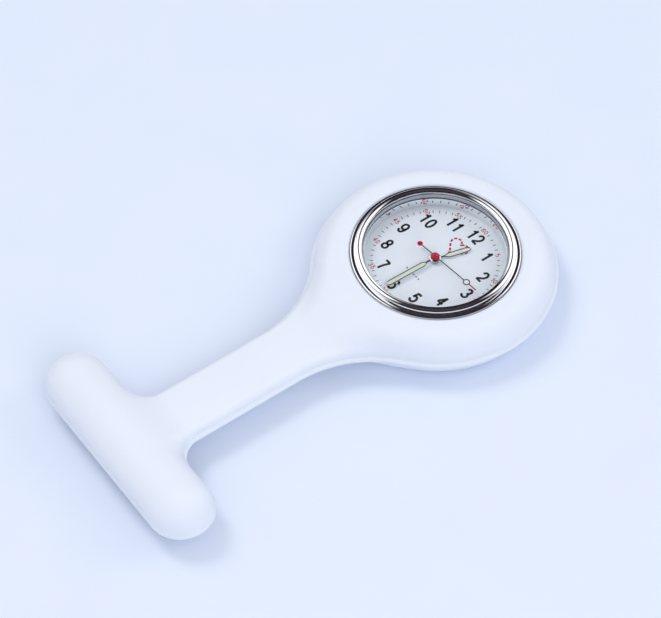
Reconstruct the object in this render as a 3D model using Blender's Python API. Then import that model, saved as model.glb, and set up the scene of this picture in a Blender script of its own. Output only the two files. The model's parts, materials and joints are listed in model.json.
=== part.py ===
"""Nurse's fob watch: a round quartz watch in a one-piece silicone cover, with a strap and a pin bar.

It lies on its back. +Z points out of the dial, +Y from the pin bar to 12 o'clock and +X to 3 o'clock.
The origin is the middle of the whole outline, on the surface that the watch lies on.
"""

import math

import bmesh
import bpy
from mathutils import Matrix

MM = 0.001
GAP = 0.04 * MM  # between pieces that touch on the real watch
LOOSE = 0.1 * MM  # around pieces that move, and round the movement
OVERLAP = 0.2 * MM  # how far joined shapes run into each other, and cutters past a wall
ROUND_STEPS = 48  # sides of a turned piece
SMALL_STEPS = 16  # sides of a small turned piece
FINE_STEPS = 10  # sides of an arbor or a screw hole
SHARP_ANGLE = math.radians(35)

# The silicone cover
HEAD_RADIUS = 20.43 * MM
HEAD_TO_BAR = 60.31 * MM  # dial axis to the pin bar's middle
BAR_RADIUS = 5.45 * MM
BAR_HALF = 14.5 * MM  # from the bar's middle to the centre of its round end
PARTING_Z = 4.0 * MM  # underside of the rim left by the mould's parting line
RIM_HEIGHT = 0.9 * MM
RIM_STEP = 0.2 * MM
HEAD_CROWN_Z = 9.2 * MM
HEAD_EDGE_WIDTH = 4.83 * MM  # from the flat top to the widest place
HEAD_FOOT_INSET = 3.43 * MM
BAR_BASE_Z = 2.6 * MM
BAR_CROWN_Z = 9.5 * MM
BAR_BASE_INSET = 0.9 * MM
STRAP_HALF_WIDTH = 5.4 * MM
STRAP_THICKNESS = 2.3 * MM
STRAP_EDGE = 0.7 * MM
HEAD_FILLET = 11.0 * MM
BAR_FILLET = 3.5 * MM
BACK_LIP = 1.0 * MM  # silicone behind the case back
BACK_LIP_REACH = 2.0 * MM  # how far that lip covers the case

# The case, from the back up
CASE_RADIUS = 13.3 * MM
CASE_WALL = 0.9 * MM
BACK_THICKNESS = 0.5 * MM
BACK_SNAP_HEIGHT = 0.85 * MM
BACK_SNAP_WALL = 0.45 * MM
BACK_GASKET = 0.25 * MM
CASE_NECK_Z = 7.4 * MM
CASE_TOP_Z = 8.3 * MM
CASE_NECK_STEP = 0.3 * MM

# The bezel and what it frames
BEZEL_RADIUS = 14.0 * MM
BEZEL_FLANGE_Z = 8.6 * MM
BEZEL_FLANGE = 0.5 * MM
BEZEL_SKIRT = 0.6 * MM
BEZEL_OPENING = 12.0 * MM
BEZEL_RING_RADIUS = 13.15 * MM
BEZEL_CROWN_Z = 9.9 * MM
BEZEL_CROWN_RADIUS = 12.6 * MM
BEZEL_LIP_DROP = 0.3 * MM
CRYSTAL_RADIUS = 11.8 * MM
CRYSTAL_BOTTOM_Z = 8.45 * MM
CRYSTAL_THICKNESS = 1.2 * MM
CRYSTAL_BEVEL = 0.2 * MM
DIAL_TOP_Z = 6.5 * MM
DIAL_THICKNESS = 0.4 * MM
DIAL_HOLE = 0.75 * MM
REHAUT_DIAL_RADIUS = 11.6 * MM
REHAUT_TOP_RADIUS = 11.7 * MM

# The movement
MOVEMENT_RADIUS = 8.9 * MM
MOVEMENT_HALF_WIDTH = 7.65 * MM
MOVEMENT_STEPS = 36
PLATE_Z = 4.7 * MM
PLATE_THICKNESS = 0.5 * MM
BRIDGE_Z = 2.6 * MM
BRIDGE_THICKNESS = 0.35 * MM
PILLAR_RADIUS = 0.7 * MM
LEFT_PILLAR = (-3.2 * MM, 3.3 * MM)
RIGHT_PILLAR = (5.0 * MM, 1.95 * MM)
CLAMP_PILLAR_GAP = 0.6 * MM  # from the battery to the clamp's pillar
CLAMP_ANGLE = math.radians(10)  # of that pillar, from the battery's middle
SCREW_RADIUS = 0.32 * MM
SCREW_LENGTH = 1.3 * MM
SCREW_HEAD_RADIUS = 0.6 * MM
SCREW_HEAD_HEIGHT = 0.3 * MM
SCREW_SLOT = 0.16 * MM
SCREW_SLOT_DEPTH = 0.12 * MM
BATTERY_RADIUS = 3.4 * MM
BATTERY_THICKNESS = 2.6 * MM
BATTERY_Z = 2.3 * MM
BATTERY_STEP = 0.35 * MM
BATTERY_Y = -5.35 * MM

# The train. Each wheel is thin, with a pinion on the same arbor
WHEEL_THICKNESS = 0.15 * MM
PINION_THICKNESS = 0.3 * MM
ARBOR_RADIUS = 0.08 * MM
PIVOT_CLEARANCE = 0.04 * MM
SECONDS_TEETH = 30
INTERMEDIATE_TEETH = 36
THIRD_TEETH = 45
CENTRE_TEETH = 48
LEAVES = 6  # of each pinion between the rotor and the centre wheel
CANNON_LEAVES = 10
MINUTE_TEETH = 30
MINUTE_LEAVES = 8
HOUR_TEETH = 32
SETTING_TEETH = 20
SECONDS_MODULE = 0.115 * MM
ROTOR_MODULE = 0.08 * MM
THIRD_DISTANCE = 2.0 * MM  # dial axis to the third wheel's arbor
MOTION_MODULE = 0.09 * MM  # cannon pinion, minute wheel, hour wheel and setting wheel
INTERMEDIATE_ANGLE = math.radians(35)
ROTOR_ANGLE = math.radians(60)  # from the intermediate arbor
THIRD_ANGLE = math.radians(127)
MINUTE_ANGLE = math.radians(-20)
SETTING_ANGLE = math.radians(15)  # from the minute wheel's stud
INTERMEDIATE_Z = 3.1 * MM
SECONDS_Z = 3.4 * MM
THIRD_Z = 3.75 * MM
CENTRE_Z = 4.15 * MM
MINUTE_Z = 5.35 * MM
HOUR_Z = 5.68 * MM
MAGNET_RADIUS = 0.65 * MM
MAGNET_Z = 3.5 * MM
MAGNET_HEIGHT = 0.8 * MM

# Pipes and hands
SECONDS_ARBOR_RADIUS = 0.09 * MM
CENTRE_PIPE_BORE = 0.15 * MM
CENTRE_PIPE_RADIUS = 0.28 * MM
HOUR_PIPE_BORE = 0.34 * MM
HOUR_PIPE_RADIUS = 0.55 * MM
HAND_FIT = 0.02 * MM
HAND_THICKNESS = 0.14 * MM
HOUR_HAND_Z = 6.8 * MM
MINUTE_HAND_Z = 7.2 * MM
SECOND_HAND_Z = 7.6 * MM
HOUR_HAND_LENGTH = 6.45 * MM
MINUTE_HAND_LENGTH = 9.95 * MM
SECOND_HAND_LENGTH = 9.5 * MM
HAND_WIDTH = 1.0 * MM
HAND_NECK_WIDTH = 0.3 * MM
HAND_HUB_RADIUS = 0.95 * MM
SECOND_HAND_WIDTH = 0.16 * MM
SECOND_RING_RADIUS = 0.62 * MM
SECOND_RING_AT = 7.35 * MM
SECOND_TAIL = 3.6 * MM
SECOND_TAIL_RADIUS = 0.45 * MM
SECOND_HUB_RADIUS = 0.6 * MM
SECOND_CAP_HEIGHT = 0.3 * MM
HOUR_ANGLE = math.radians(-15.12)  # hands stand at 12:30:14
MINUTE_HAND_ANGLE = math.radians(-181.4)
SECOND_ANGLE = math.radians(-84.0)

# Crown, stem and keyless work, on the 3 o'clock side
STEM_Z = 4.75 * MM
STEM_RADIUS = 0.42 * MM
STEM_PILOT_RADIUS = 0.3 * MM
STEM_GROOVE_RADIUS = 0.2 * MM
STEM_INNER_END = 4.2 * MM
STEM_GROOVE_X = 6.3 * MM
STEM_GROOVE_WIDTH = 0.4 * MM
CROWN_RADIUS = 1.5 * MM
CROWN_LENGTH = 1.8 * MM
CROWN_STANDOFF = 0.45 * MM  # from the case wall to the crown
CROWN_TRAVEL = 0.8 * MM
CROWN_RECESS_RADIUS = 1.1 * MM
CROWN_RECESS_DEPTH = 1.15 * MM
TUBE_RADIUS = 0.8 * MM  # the case's tube, which the crown slides over
TUBE_LENGTH = 1.45 * MM
CROWN_GASKET_WIDTH = 0.3 * MM
CROWN_RIDGES = 18
CROWN_RIDGE_DEPTH = 0.12 * MM
CLUTCH_X = 5.5 * MM
CLUTCH_TRAVEL = 0.6 * MM  # towards the setting wheel, as the crown is pulled
CLUTCH_LENGTH = 0.7 * MM
CLUTCH_RADIUS = 0.7 * MM
CLUTCH_GROOVE_RADIUS = 0.5 * MM
CLUTCH_GROOVE_WIDTH = 0.34 * MM
LEVER_Z = 5.3 * MM
LEVER_THICKNESS = 0.2 * MM
LEVER_WIDTH = 0.7 * MM
LEVER_PIN_RADIUS = 0.12 * MM
LEVER_REACH = 2.5 * MM  # from each lever's pivot across to the stem
YOKE_TIP_WIDTH = 0.16 * MM
STUD_RADIUS = 0.15 * MM

# Coil, stator and circuit
COIL_Y = 6.1 * MM
COIL_RADIUS = 0.95 * MM
COIL_HALF = 3.1 * MM
CORE_HALF_WIDTH = 0.5 * MM
CORE_HALF = 4.6 * MM
STATOR_Z = 3.75 * MM
STATOR_THICKNESS = 0.35 * MM
STATOR_RING_RADIUS = 1.45 * MM
STATOR_HOLE = 0.9 * MM
BOARD_Z = 2.75 * MM
BOARD_THICKNESS = 0.25 * MM
BOARD_GAP = 0.4 * MM  # from the battery to the board
BOARD_OUTER_Y = 2.4 * MM
BOARD_INNER_Y = 1.8 * MM
BOARD_STEP = 0.7 * MM
CRYSTAL_CAN_RADIUS = 0.75 * MM
CRYSTAL_CAN_LENGTH = 5.0 * MM
CHIP_SIDE = 1.5 * MM
CHIP_HEIGHT = 0.5 * MM
CONTACT_THICKNESS = 0.12 * MM

# The brooch behind the pin bar
BROOCH_END_MARGIN = 2.95 * MM  # from the plate's end to the bar's end
BROOCH_HALF_WIDTH = 2.4 * MM
BROOCH_THICKNESS = 0.5 * MM
BROOCH_LIP = 0.45 * MM  # silicone below the brooch plate's edge
BROOCH_LIP_REACH = 0.7 * MM
NEEDLE_Z = 1.12 * MM
NEEDLE_RADIUS = 0.35 * MM
NEEDLE_POINT_LENGTH = 3.4 * MM
NEEDLE_TIP_RADIUS = 0.06 * MM
NEEDLE_TIP_REACH = 2.1 * MM  # how far the point goes into the catch
HINGE_INSET = 2.4 * MM  # from the plate's end to the needle's hinge
CATCH_INSET = 1.5 * MM  # from the other end to the end of the catch
EYE_RADIUS = 0.75 * MM
EYE_HALF_WIDTH = 0.45 * MM
EAR_THICKNESS = 0.5 * MM
RIVET_RADIUS = 0.3 * MM
RIVET_HEAD_RADIUS = 0.5 * MM
RIVET_HEAD = 0.2 * MM
CATCH_LENGTH = 2.5 * MM
CATCH_POST_LENGTH = 0.7 * MM
CATCH_BORE = 0.44 * MM
CATCH_RADIUS = 0.72 * MM
COLLAR_RADIUS = 1.1 * MM
COLLAR_TAB = 0.4 * MM
SLOT_WIDTH = 0.8 * MM

# Worked out from the above
TOTAL_LENGTH = HEAD_RADIUS + HEAD_TO_BAR + BAR_RADIUS
HEAD_Y = TOTAL_LENGTH / 2 - HEAD_RADIUS
BAR_Y = HEAD_Y - HEAD_TO_BAR
CASE_INSIDE = CASE_RADIUS - CASE_WALL
CASE_BACK_Z = BACK_LIP + LOOSE
CASE_BACK_TOP = CASE_BACK_Z + BACK_THICKNESS
CASE_BOTTOM_Z = CASE_BACK_TOP + BACK_GASKET + 2 * GAP
NECK_RADIUS = CASE_RADIUS - CASE_NECK_STEP
SKIRT_INSIDE = NECK_RADIUS + GAP
SKIRT_RADIUS = SKIRT_INSIDE + BEZEL_SKIRT
CRYSTAL_TOP_Z = CRYSTAL_BOTTOM_Z + CRYSTAL_THICKNESS
DIAL_Z = DIAL_TOP_Z - DIAL_THICKNESS
DIAL_RADIUS = CASE_INSIDE - LOOSE
PLATE_TOP_Z = PLATE_Z + PLATE_THICKNESS
BRIDGE_TOP_Z = BRIDGE_Z + BRIDGE_THICKNESS
ARBOR_LOW_Z = BRIDGE_Z + GAP
ARBOR_HIGH_Z = PLATE_TOP_Z - GAP
THIRD_MODULE = 2 * THIRD_DISTANCE / (THIRD_TEETH + LEAVES)
CENTRE_MODULE = 2 * THIRD_DISTANCE / (CENTRE_TEETH + LEAVES)
HEAD_CROWN_RADIUS = HEAD_RADIUS - HEAD_EDGE_WIDTH
HEAD_FOOT_RADIUS = HEAD_RADIUS - HEAD_FOOT_INSET
BROOCH_Z = BAR_BASE_Z + BROOCH_LIP + GAP
BROOCH_HALF_LENGTH = BAR_HALF + BAR_RADIUS - BROOCH_END_MARGIN
HINGE_X = HINGE_INSET - BROOCH_HALF_LENGTH
CATCH_X = BROOCH_HALF_LENGTH - CATCH_INSET - CATCH_LENGTH
NEEDLE_TIP_X = CATCH_X + NEEDLE_TIP_REACH
BROOCH_TOP_Z = BROOCH_Z + BROOCH_THICKNESS
CROWN_X = CASE_RADIUS + CROWN_STANDOFF
CLUTCH_GROOVE_X = CLUTCH_X + CLUTCH_LENGTH / 2
LEVER_PIVOT = (STEM_GROOVE_X + CROWN_TRAVEL / 2, LEVER_REACH)
YOKE_PIVOT = (CLUTCH_GROOVE_X - CLUTCH_TRAVEL / 2, -LEVER_REACH)


# Geometry helpers


def polar(radius, angle, centre=(0.0, 0.0)):
    return centre[0] + radius * math.cos(angle), centre[1] + radius * math.sin(angle)


def arc(centre, radii, start, end, steps):
    """Points along an elliptic arc, from the start angle to the end angle in degrees."""
    angles = [math.radians(start + (end - start) * i / steps) for i in range(steps + 1)]
    return [(centre[0] + radii[0] * math.cos(a), centre[1] + radii[1] * math.sin(a)) for a in angles]


def circle(radius, steps, centre=(0.0, 0.0)):
    return [polar(radius, 2 * math.pi * i / steps, centre) for i in range(steps)]


def box_outline(low, high):
    return [(low[0], low[1]), (high[0], low[1]), (high[0], high[1]), (low[0], high[1])]


def stadium(half_length, radius, steps):
    """A bar's plan with round ends: two half circles, joined by straight sides."""
    right = arc((half_length, 0), (radius, radius), -90, 90, steps)
    left = arc((-half_length, 0), (radius, radius), 90, 270, steps)
    return right + left


def gear_outline(teeth, module, phase):
    """A toothed outline. A tooth is 0.31 of the pitch each side at its root and 0.11 at its tip."""
    pitch = 2 * math.pi / teeth
    root = module * (teeth / 2 - 1.15)
    tip = module * (teeth / 2 + 0.9)
    points = []
    for i in range(teeth):
        middle = phase + i * pitch
        for radius, share in ((root, -0.31), (tip, -0.11), (tip, 0.11), (root, 0.31)):
            points.append(polar(radius, middle + share * pitch))
    return points


def meshing_phase(teeth_a, phase_a, teeth_b, direction):
    """The phase that puts gear b in mesh with gear a, when b lies in this direction from a."""
    pitch_a = 2 * math.pi / teeth_a
    pitch_b = 2 * math.pi / teeth_b
    share = (direction - phase_a) / pitch_a
    return direction + math.pi - pitch_b * (0.5 - share)


def gear_distance(module, teeth_a, teeth_b):
    return module * (teeth_a + teeth_b) / 2


# Mesh builders


def turned(profile, steps=ROUND_STEPS):
    """A closed profile of (radius, height) points spun about Z. It may touch the axis at its two ends."""
    mesh = bmesh.new()
    verts = [mesh.verts.new((radius, 0, height)) for radius, height in profile]
    pairs = list(zip(verts, verts[1:]))
    if profile[0][0] > 0 or profile[-1][0] > 0:
        pairs.append((verts[-1], verts[0]))
    edges = [mesh.edges.new(pair) for pair in pairs]
    bmesh.ops.spin(
        mesh, geom=verts + edges, axis=(0, 0, 1), angle=2 * math.pi, steps=steps, use_merge=True
    )
    return closed(mesh)


def tube(inside, outside, low, high, steps=ROUND_STEPS):
    return turned([(inside, low), (outside, low), (outside, high), (inside, high)], steps)


def rod(radius, low, high, steps=SMALL_STEPS):
    return turned([(0, low), (radius, low), (radius, high), (0, high)], steps)


def prism(outline, low, high):
    """A flat outline extruded from one height to another."""
    mesh = bmesh.new()
    face = mesh.faces.new([mesh.verts.new((x, y, low)) for x, y in outline])
    grown = bmesh.ops.extrude_face_region(mesh, geom=[face])
    top = [item for item in grown["geom"] if isinstance(item, bmesh.types.BMVert)]
    bmesh.ops.translate(mesh, verts=top, vec=(0, 0, high - low))
    return closed(mesh)


def lofted(rings):
    """Rings of points, each with its height, joined in order and capped at both ends."""
    mesh = bmesh.new()
    rows = [[mesh.verts.new((x, y, height)) for x, y in outline] for outline, height in rings]
    for below, above in zip(rows, rows[1:]):
        for i in range(len(below)):
            j = (i + 1) % len(below)
            mesh.faces.new((below[i], below[j], above[j], above[i]))
    mesh.faces.new(rows[0])
    mesh.faces.new(rows[-1])
    return closed(mesh)


def closed(mesh):
    bmesh.ops.remove_doubles(mesh, verts=mesh.verts, dist=1e-7)
    bmesh.ops.recalc_face_normals(mesh, faces=mesh.faces)
    return mesh


def together(meshes):
    """Several bodies in one mesh, for a tool that cuts or adds them all at once."""
    whole = bmesh.new()
    for mesh in meshes:
        data = bpy.data.meshes.new("part_of_tool")
        mesh.to_mesh(data)
        mesh.free()
        whole.from_mesh(data)
        bpy.data.meshes.remove(data)
    return whole


def moved(mesh, x=0.0, y=0.0, z=0.0):
    bmesh.ops.translate(mesh, verts=mesh.verts, vec=(x, y, z))
    return mesh


def along_x(mesh, y=0.0, z=0.0):
    """Turns a piece made about Z so that its axis runs along +X at this y and height."""
    bmesh.ops.rotate(mesh, verts=mesh.verts, matrix=Matrix.Rotation(math.pi / 2, 3, "Y"))
    return moved(mesh, 0, y, z)


def along_y(mesh, x=0.0, z=0.0):
    """Turns a piece made about Z so that its axis runs along Y at this x and height."""
    bmesh.ops.rotate(mesh, verts=mesh.verts, matrix=Matrix.Rotation(-math.pi / 2, 3, "X"))
    return moved(mesh, x, 0, z)


def block(low, high):
    return prism(box_outline(low, high), low[2], high[2])


# Objects


def clear_scene():
    for item in list(bpy.data.objects):
        bpy.data.objects.remove(item)


def make_material(name, colour, roughness, metallic=0.0, alpha=1.0):
    made = bpy.data.materials.new(name)
    made.use_nodes = True
    shader = made.node_tree.nodes["Principled BSDF"]
    shader.inputs["Base Color"].default_value = (*colour, 1.0)
    shader.inputs["Roughness"].default_value = roughness
    shader.inputs["Metallic"].default_value = metallic
    shader.inputs["Alpha"].default_value = alpha
    return made


def make_empty(name, location):
    empty = bpy.data.objects.new(name, None)
    empty.location = location
    bpy.context.scene.collection.objects.link(empty)
    return empty


def make_object(name, mesh, finish, parent, location=(0, 0, 0), turn=0.0):
    data = bpy.data.meshes.new(name)
    mesh.to_mesh(data)
    mesh.free()
    data.shade_smooth()
    data.set_sharp_from_angle(angle=SHARP_ANGLE)
    if finish:
        data.materials.append(finish)
    made = bpy.data.objects.new(name, data)
    made.parent = parent
    made.location = location
    made.rotation_euler = (0, 0, turn)
    bpy.context.scene.collection.objects.link(made)
    return made


def add_tool(target, operation, mesh):
    """Joins a hidden shape to the target, or cuts it away, where both are in the same local space."""
    name = f"{target.name}_{operation.lower()}_{len(target.modifiers)}"
    tool = make_object(name, mesh, None, target.parent)
    tool.location = target.location
    tool.rotation_euler = target.rotation_euler
    tool.hide_render = True
    tool.display_type = "WIRE"
    step = target.modifiers.new(operation.title(), "BOOLEAN")
    step.operation = operation
    step.solver = "EXACT"
    step.object = tool


def join(target, *meshes):
    for mesh in meshes:
        add_tool(target, "UNION", mesh)


def cut(target, *meshes):
    for mesh in meshes:
        add_tool(target, "DIFFERENCE", mesh)


# The silicone cover


def head_profile():
    """Half section of the round head: dome, parting rim, hollow flank, foot, back lip and the case's seat."""
    rim_top = PARTING_Z + RIM_HEIGHT
    seat = CASE_RADIUS + LOOSE
    skirt_seat = SKIRT_RADIUS + LOOSE
    flange_seat = BEZEL_RADIUS + LOOSE
    dome_radii = (HEAD_RADIUS - RIM_STEP - HEAD_CROWN_RADIUS, HEAD_CROWN_Z - rim_top)
    flank_radii = (HEAD_RADIUS - RIM_STEP - HEAD_FOOT_RADIUS, PARTING_Z)
    opening = CASE_RADIUS - BACK_LIP_REACH
    points = [(opening, 0), (opening, BACK_LIP), (seat, BACK_LIP), (seat, CASE_NECK_Z - LOOSE)]
    points += [(skirt_seat, CASE_NECK_Z - LOOSE), (skirt_seat, BEZEL_FLANGE_Z - LOOSE)]
    points += [(flange_seat, BEZEL_FLANGE_Z - LOOSE), (flange_seat, BEZEL_FLANGE_Z + BEZEL_FLANGE - LOOSE)]
    points += arc((HEAD_CROWN_RADIUS, rim_top), dome_radii, 90, 0, 6)
    points += [(HEAD_RADIUS, rim_top - RIM_STEP), (HEAD_RADIUS, PARTING_Z)]
    points += arc((HEAD_FOOT_RADIUS, PARTING_Z), flank_radii, 0, -90, 4)
    return points


def strap_outline():
    """Plan of the strap from inside the head to inside the bar, with a fillet at each corner."""
    head_reach = HEAD_RADIUS + HEAD_FILLET
    across = STRAP_HALF_WIDTH + HEAD_FILLET
    fillet_y = -math.sqrt(head_reach**2 - across**2)
    head_angle = math.degrees(math.atan2(-fillet_y, -across))
    bar_top = -HEAD_TO_BAR + BAR_RADIUS
    side = arc((across, fillet_y), (HEAD_FILLET, HEAD_FILLET), head_angle, 180, 6)
    bar_centre = (STRAP_HALF_WIDTH + BAR_FILLET, bar_top + BAR_FILLET)
    side += arc(bar_centre, (BAR_FILLET, BAR_FILLET), 180, 270, 5)
    inner_y = -(CASE_RADIUS + HEAD_RADIUS) / 2
    right = [(STRAP_HALF_WIDTH, inner_y), *side, (STRAP_HALF_WIDTH + BAR_FILLET, -HEAD_TO_BAR)]
    return right + [(-x, y) for x, y in reversed(right)]


def bar_rings():
    """The pin bar: stadium outlines, each set in by its own amount, from the flat base to the domed top."""
    rim_top = PARTING_Z + RIM_HEIGHT
    inset = BAR_RADIUS - RIM_STEP
    levels = [(BAR_BASE_INSET + OVERLAP, BAR_BASE_Z), (RIM_STEP, PARTING_Z - RIM_STEP)]
    levels += [(0, PARTING_Z), (0, rim_top - RIM_STEP)]
    dome = arc((0, rim_top), (inset, BAR_CROWN_Z - rim_top), 0, 78, 6)
    levels += [(BAR_RADIUS - reach, height) for reach, height in dome]
    return [(stadium(BAR_HALF, BAR_RADIUS - inward, 8), height) for inward, height in levels]


def make_silicone_body(head, finish):
    body = make_object("silicone_body", turned(head_profile()), finish, head)
    strap = prism(strap_outline(), PARTING_Z, PARTING_Z + STRAP_THICKNESS)
    bmesh.ops.bevel(
        strap,
        geom=[edge for edge in strap.edges if all(v.co.z > PARTING_Z + OVERLAP for v in edge.verts)],
        offset=STRAP_EDGE,
        segments=2,
        affect="EDGES",
    )
    join(body, strap, moved(lofted(bar_rings()), y=-HEAD_TO_BAR))
    pocket_radius = CROWN_RADIUS + 3 * LOOSE
    pocket_end = CROWN_X + CROWN_LENGTH + CROWN_TRAVEL + 3 * LOOSE
    cut(body, along_x(rod(pocket_radius, CASE_INSIDE, pocket_end), z=STEM_Z))
    mouth = (BROOCH_HALF_LENGTH - BROOCH_LIP_REACH, BROOCH_HALF_WIDTH - BROOCH_LIP_REACH)
    pocket = (BROOCH_HALF_LENGTH + LOOSE, BROOCH_HALF_WIDTH + LOOSE)
    lip_top = BAR_BASE_Z + BROOCH_LIP
    low = BAR_BASE_Z - OVERLAP
    high = BROOCH_TOP_Z + LOOSE
    slot = [
        block((-mouth[0], -mouth[1], low), (mouth[0], mouth[1], high - LOOSE)),
        block((-pocket[0], -pocket[1], lip_top), (pocket[0], pocket[1], high)),
    ]
    cut(body, *[moved(mesh, y=-HEAD_TO_BAR) for mesh in slot])


# Case, bezel, crystal and dial


def make_case(head, finish):
    profile = [
        (CASE_INSIDE, CASE_BOTTOM_Z),
        (CASE_RADIUS, CASE_BOTTOM_Z),
        (CASE_RADIUS, CASE_NECK_Z),
        (NECK_RADIUS, CASE_NECK_Z),
        (NECK_RADIUS, CASE_TOP_Z),
        (CASE_INSIDE, CASE_TOP_Z),
    ]
    case = make_object("case", turned(profile), finish, head)
    tube_end = CASE_RADIUS + TUBE_LENGTH
    middle = (CASE_INSIDE + CASE_RADIUS) / 2
    join(case, along_x(rod(TUBE_RADIUS, middle, tube_end), z=STEM_Z))
    bore = rod(STEM_RADIUS + LOOSE, CASE_INSIDE - CASE_WALL, tube_end + OVERLAP)
    cut(case, along_x(bore, z=STEM_Z))


def make_case_back(head, finish):
    snap_outside = CASE_INSIDE - GAP
    snap_inside = snap_outside - BACK_SNAP_WALL
    profile = [
        (0, CASE_BACK_Z),
        (CASE_RADIUS - OVERLAP, CASE_BACK_Z),
        (CASE_RADIUS, CASE_BACK_Z + OVERLAP),
        (CASE_RADIUS, CASE_BACK_TOP),
        (snap_outside, CASE_BACK_TOP),
        (snap_outside, CASE_BACK_TOP + BACK_SNAP_HEIGHT),
        (snap_inside, CASE_BACK_TOP + BACK_SNAP_HEIGHT),
        (snap_inside, CASE_BACK_TOP),
        (0, CASE_BACK_TOP),
    ]
    make_object("case_back", turned(profile), finish, head)


def make_case_back_gasket(head, finish):
    low = CASE_BACK_TOP + GAP
    ring = tube(CASE_INSIDE + LOOSE, CASE_RADIUS - LOOSE, low, low + BACK_GASKET)
    make_object("case_back_gasket", ring, finish, head)


def make_bezel(head, finish):
    flange_top = BEZEL_FLANGE_Z + BEZEL_FLANGE
    seat_z = CASE_TOP_Z + LOOSE
    profile = [
        (BEZEL_OPENING, seat_z),
        (BEZEL_OPENING, BEZEL_CROWN_Z - BEZEL_LIP_DROP),
        (BEZEL_CROWN_RADIUS - OVERLAP, BEZEL_CROWN_Z),
        (BEZEL_CROWN_RADIUS + OVERLAP, BEZEL_CROWN_Z),
        (BEZEL_RING_RADIUS, BEZEL_CROWN_Z - BEZEL_LIP_DROP),
        (BEZEL_RING_RADIUS + LOOSE, flange_top),
        (BEZEL_RADIUS, flange_top - LOOSE),
        (BEZEL_RADIUS, BEZEL_FLANGE_Z),
        (SKIRT_RADIUS, BEZEL_FLANGE_Z),
        (SKIRT_RADIUS, CASE_NECK_Z + GAP),
        (SKIRT_INSIDE, CASE_NECK_Z + GAP),
        (SKIRT_INSIDE, seat_z),
    ]
    make_object("bezel", turned(profile), finish, head)


def make_crystal(head, glass, rubber):
    profile = [
        (0, CRYSTAL_BOTTOM_Z),
        (CRYSTAL_RADIUS, CRYSTAL_BOTTOM_Z),
        (CRYSTAL_RADIUS, CRYSTAL_TOP_Z - CRYSTAL_BEVEL),
        (CRYSTAL_RADIUS - CRYSTAL_BEVEL, CRYSTAL_TOP_Z),
        (0, CRYSTAL_TOP_Z),
    ]
    make_object("crystal", turned(profile), glass, head)
    ring = tube(
        CRYSTAL_RADIUS + GAP, BEZEL_OPENING - GAP, CRYSTAL_BOTTOM_Z + GAP, CRYSTAL_TOP_Z - 2 * CRYSTAL_BEVEL
    )
    make_object("crystal_gasket", ring, rubber, head)


def make_rehaut_ring(head, finish):
    top = CRYSTAL_BOTTOM_Z - LOOSE
    low = DIAL_TOP_Z + GAP
    profile = [(REHAUT_DIAL_RADIUS, low), (DIAL_RADIUS, low), (DIAL_RADIUS, top), (REHAUT_TOP_RADIUS, top)]
    make_object("rehaut_ring", turned(profile), finish, head)


def make_dial(head, finish):
    make_object("dial", tube(DIAL_HOLE, DIAL_RADIUS, DIAL_Z, DIAL_TOP_Z), finish, head)


# Movement frame


def movement_outline(clearance=0.0):
    """Plan of the movement: a circle with its 3 and 9 o'clock sides cut flat."""
    half = MOVEMENT_HALF_WIDTH + clearance
    around = circle(MOVEMENT_RADIUS + clearance, MOVEMENT_STEPS)
    return [(max(-half, min(half, x)), y) for x, y in around]


def third_place():
    return polar(THIRD_DISTANCE, THIRD_ANGLE)


def intermediate_place():
    return polar(gear_distance(SECONDS_MODULE, SECONDS_TEETH, LEAVES), INTERMEDIATE_ANGLE)


def rotor_place():
    reach = gear_distance(ROTOR_MODULE, INTERMEDIATE_TEETH, LEAVES)
    return polar(reach, ROTOR_ANGLE, intermediate_place())


def minute_place():
    return polar(gear_distance(MOTION_MODULE, CANNON_LEAVES, MINUTE_TEETH), MINUTE_ANGLE)


def setting_place():
    reach = gear_distance(MOTION_MODULE, MINUTE_TEETH, SETTING_TEETH)
    return polar(reach, SETTING_ANGLE, minute_place())


def pillar_places():
    """The two bridge pillars and the battery clamp's pillar."""
    clear = BATTERY_RADIUS + CLAMP_PILLAR_GAP + PILLAR_RADIUS
    return [LEFT_PILLAR, RIGHT_PILLAR, polar(clear, CLAMP_ANGLE, (0, BATTERY_Y))]


def posts(places, radius, low, high, steps=SMALL_STEPS):
    return together([moved(rod(radius, low, high, steps), x, y) for x, y in places])


def make_movement_holder(head, finish):
    ring = make_object(
        "movement_holder", rod(DIAL_RADIUS, BRIDGE_Z, DIAL_Z - GAP, ROUND_STEPS), finish, head
    )
    cut(ring, prism(movement_outline(LOOSE), BRIDGE_Z - OVERLAP, DIAL_Z + OVERLAP))
    cut(ring, along_x(rod(STEM_RADIUS + 2 * LOOSE, MOVEMENT_HALF_WIDTH - OVERLAP, CASE_INSIDE), z=STEM_Z))


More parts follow.
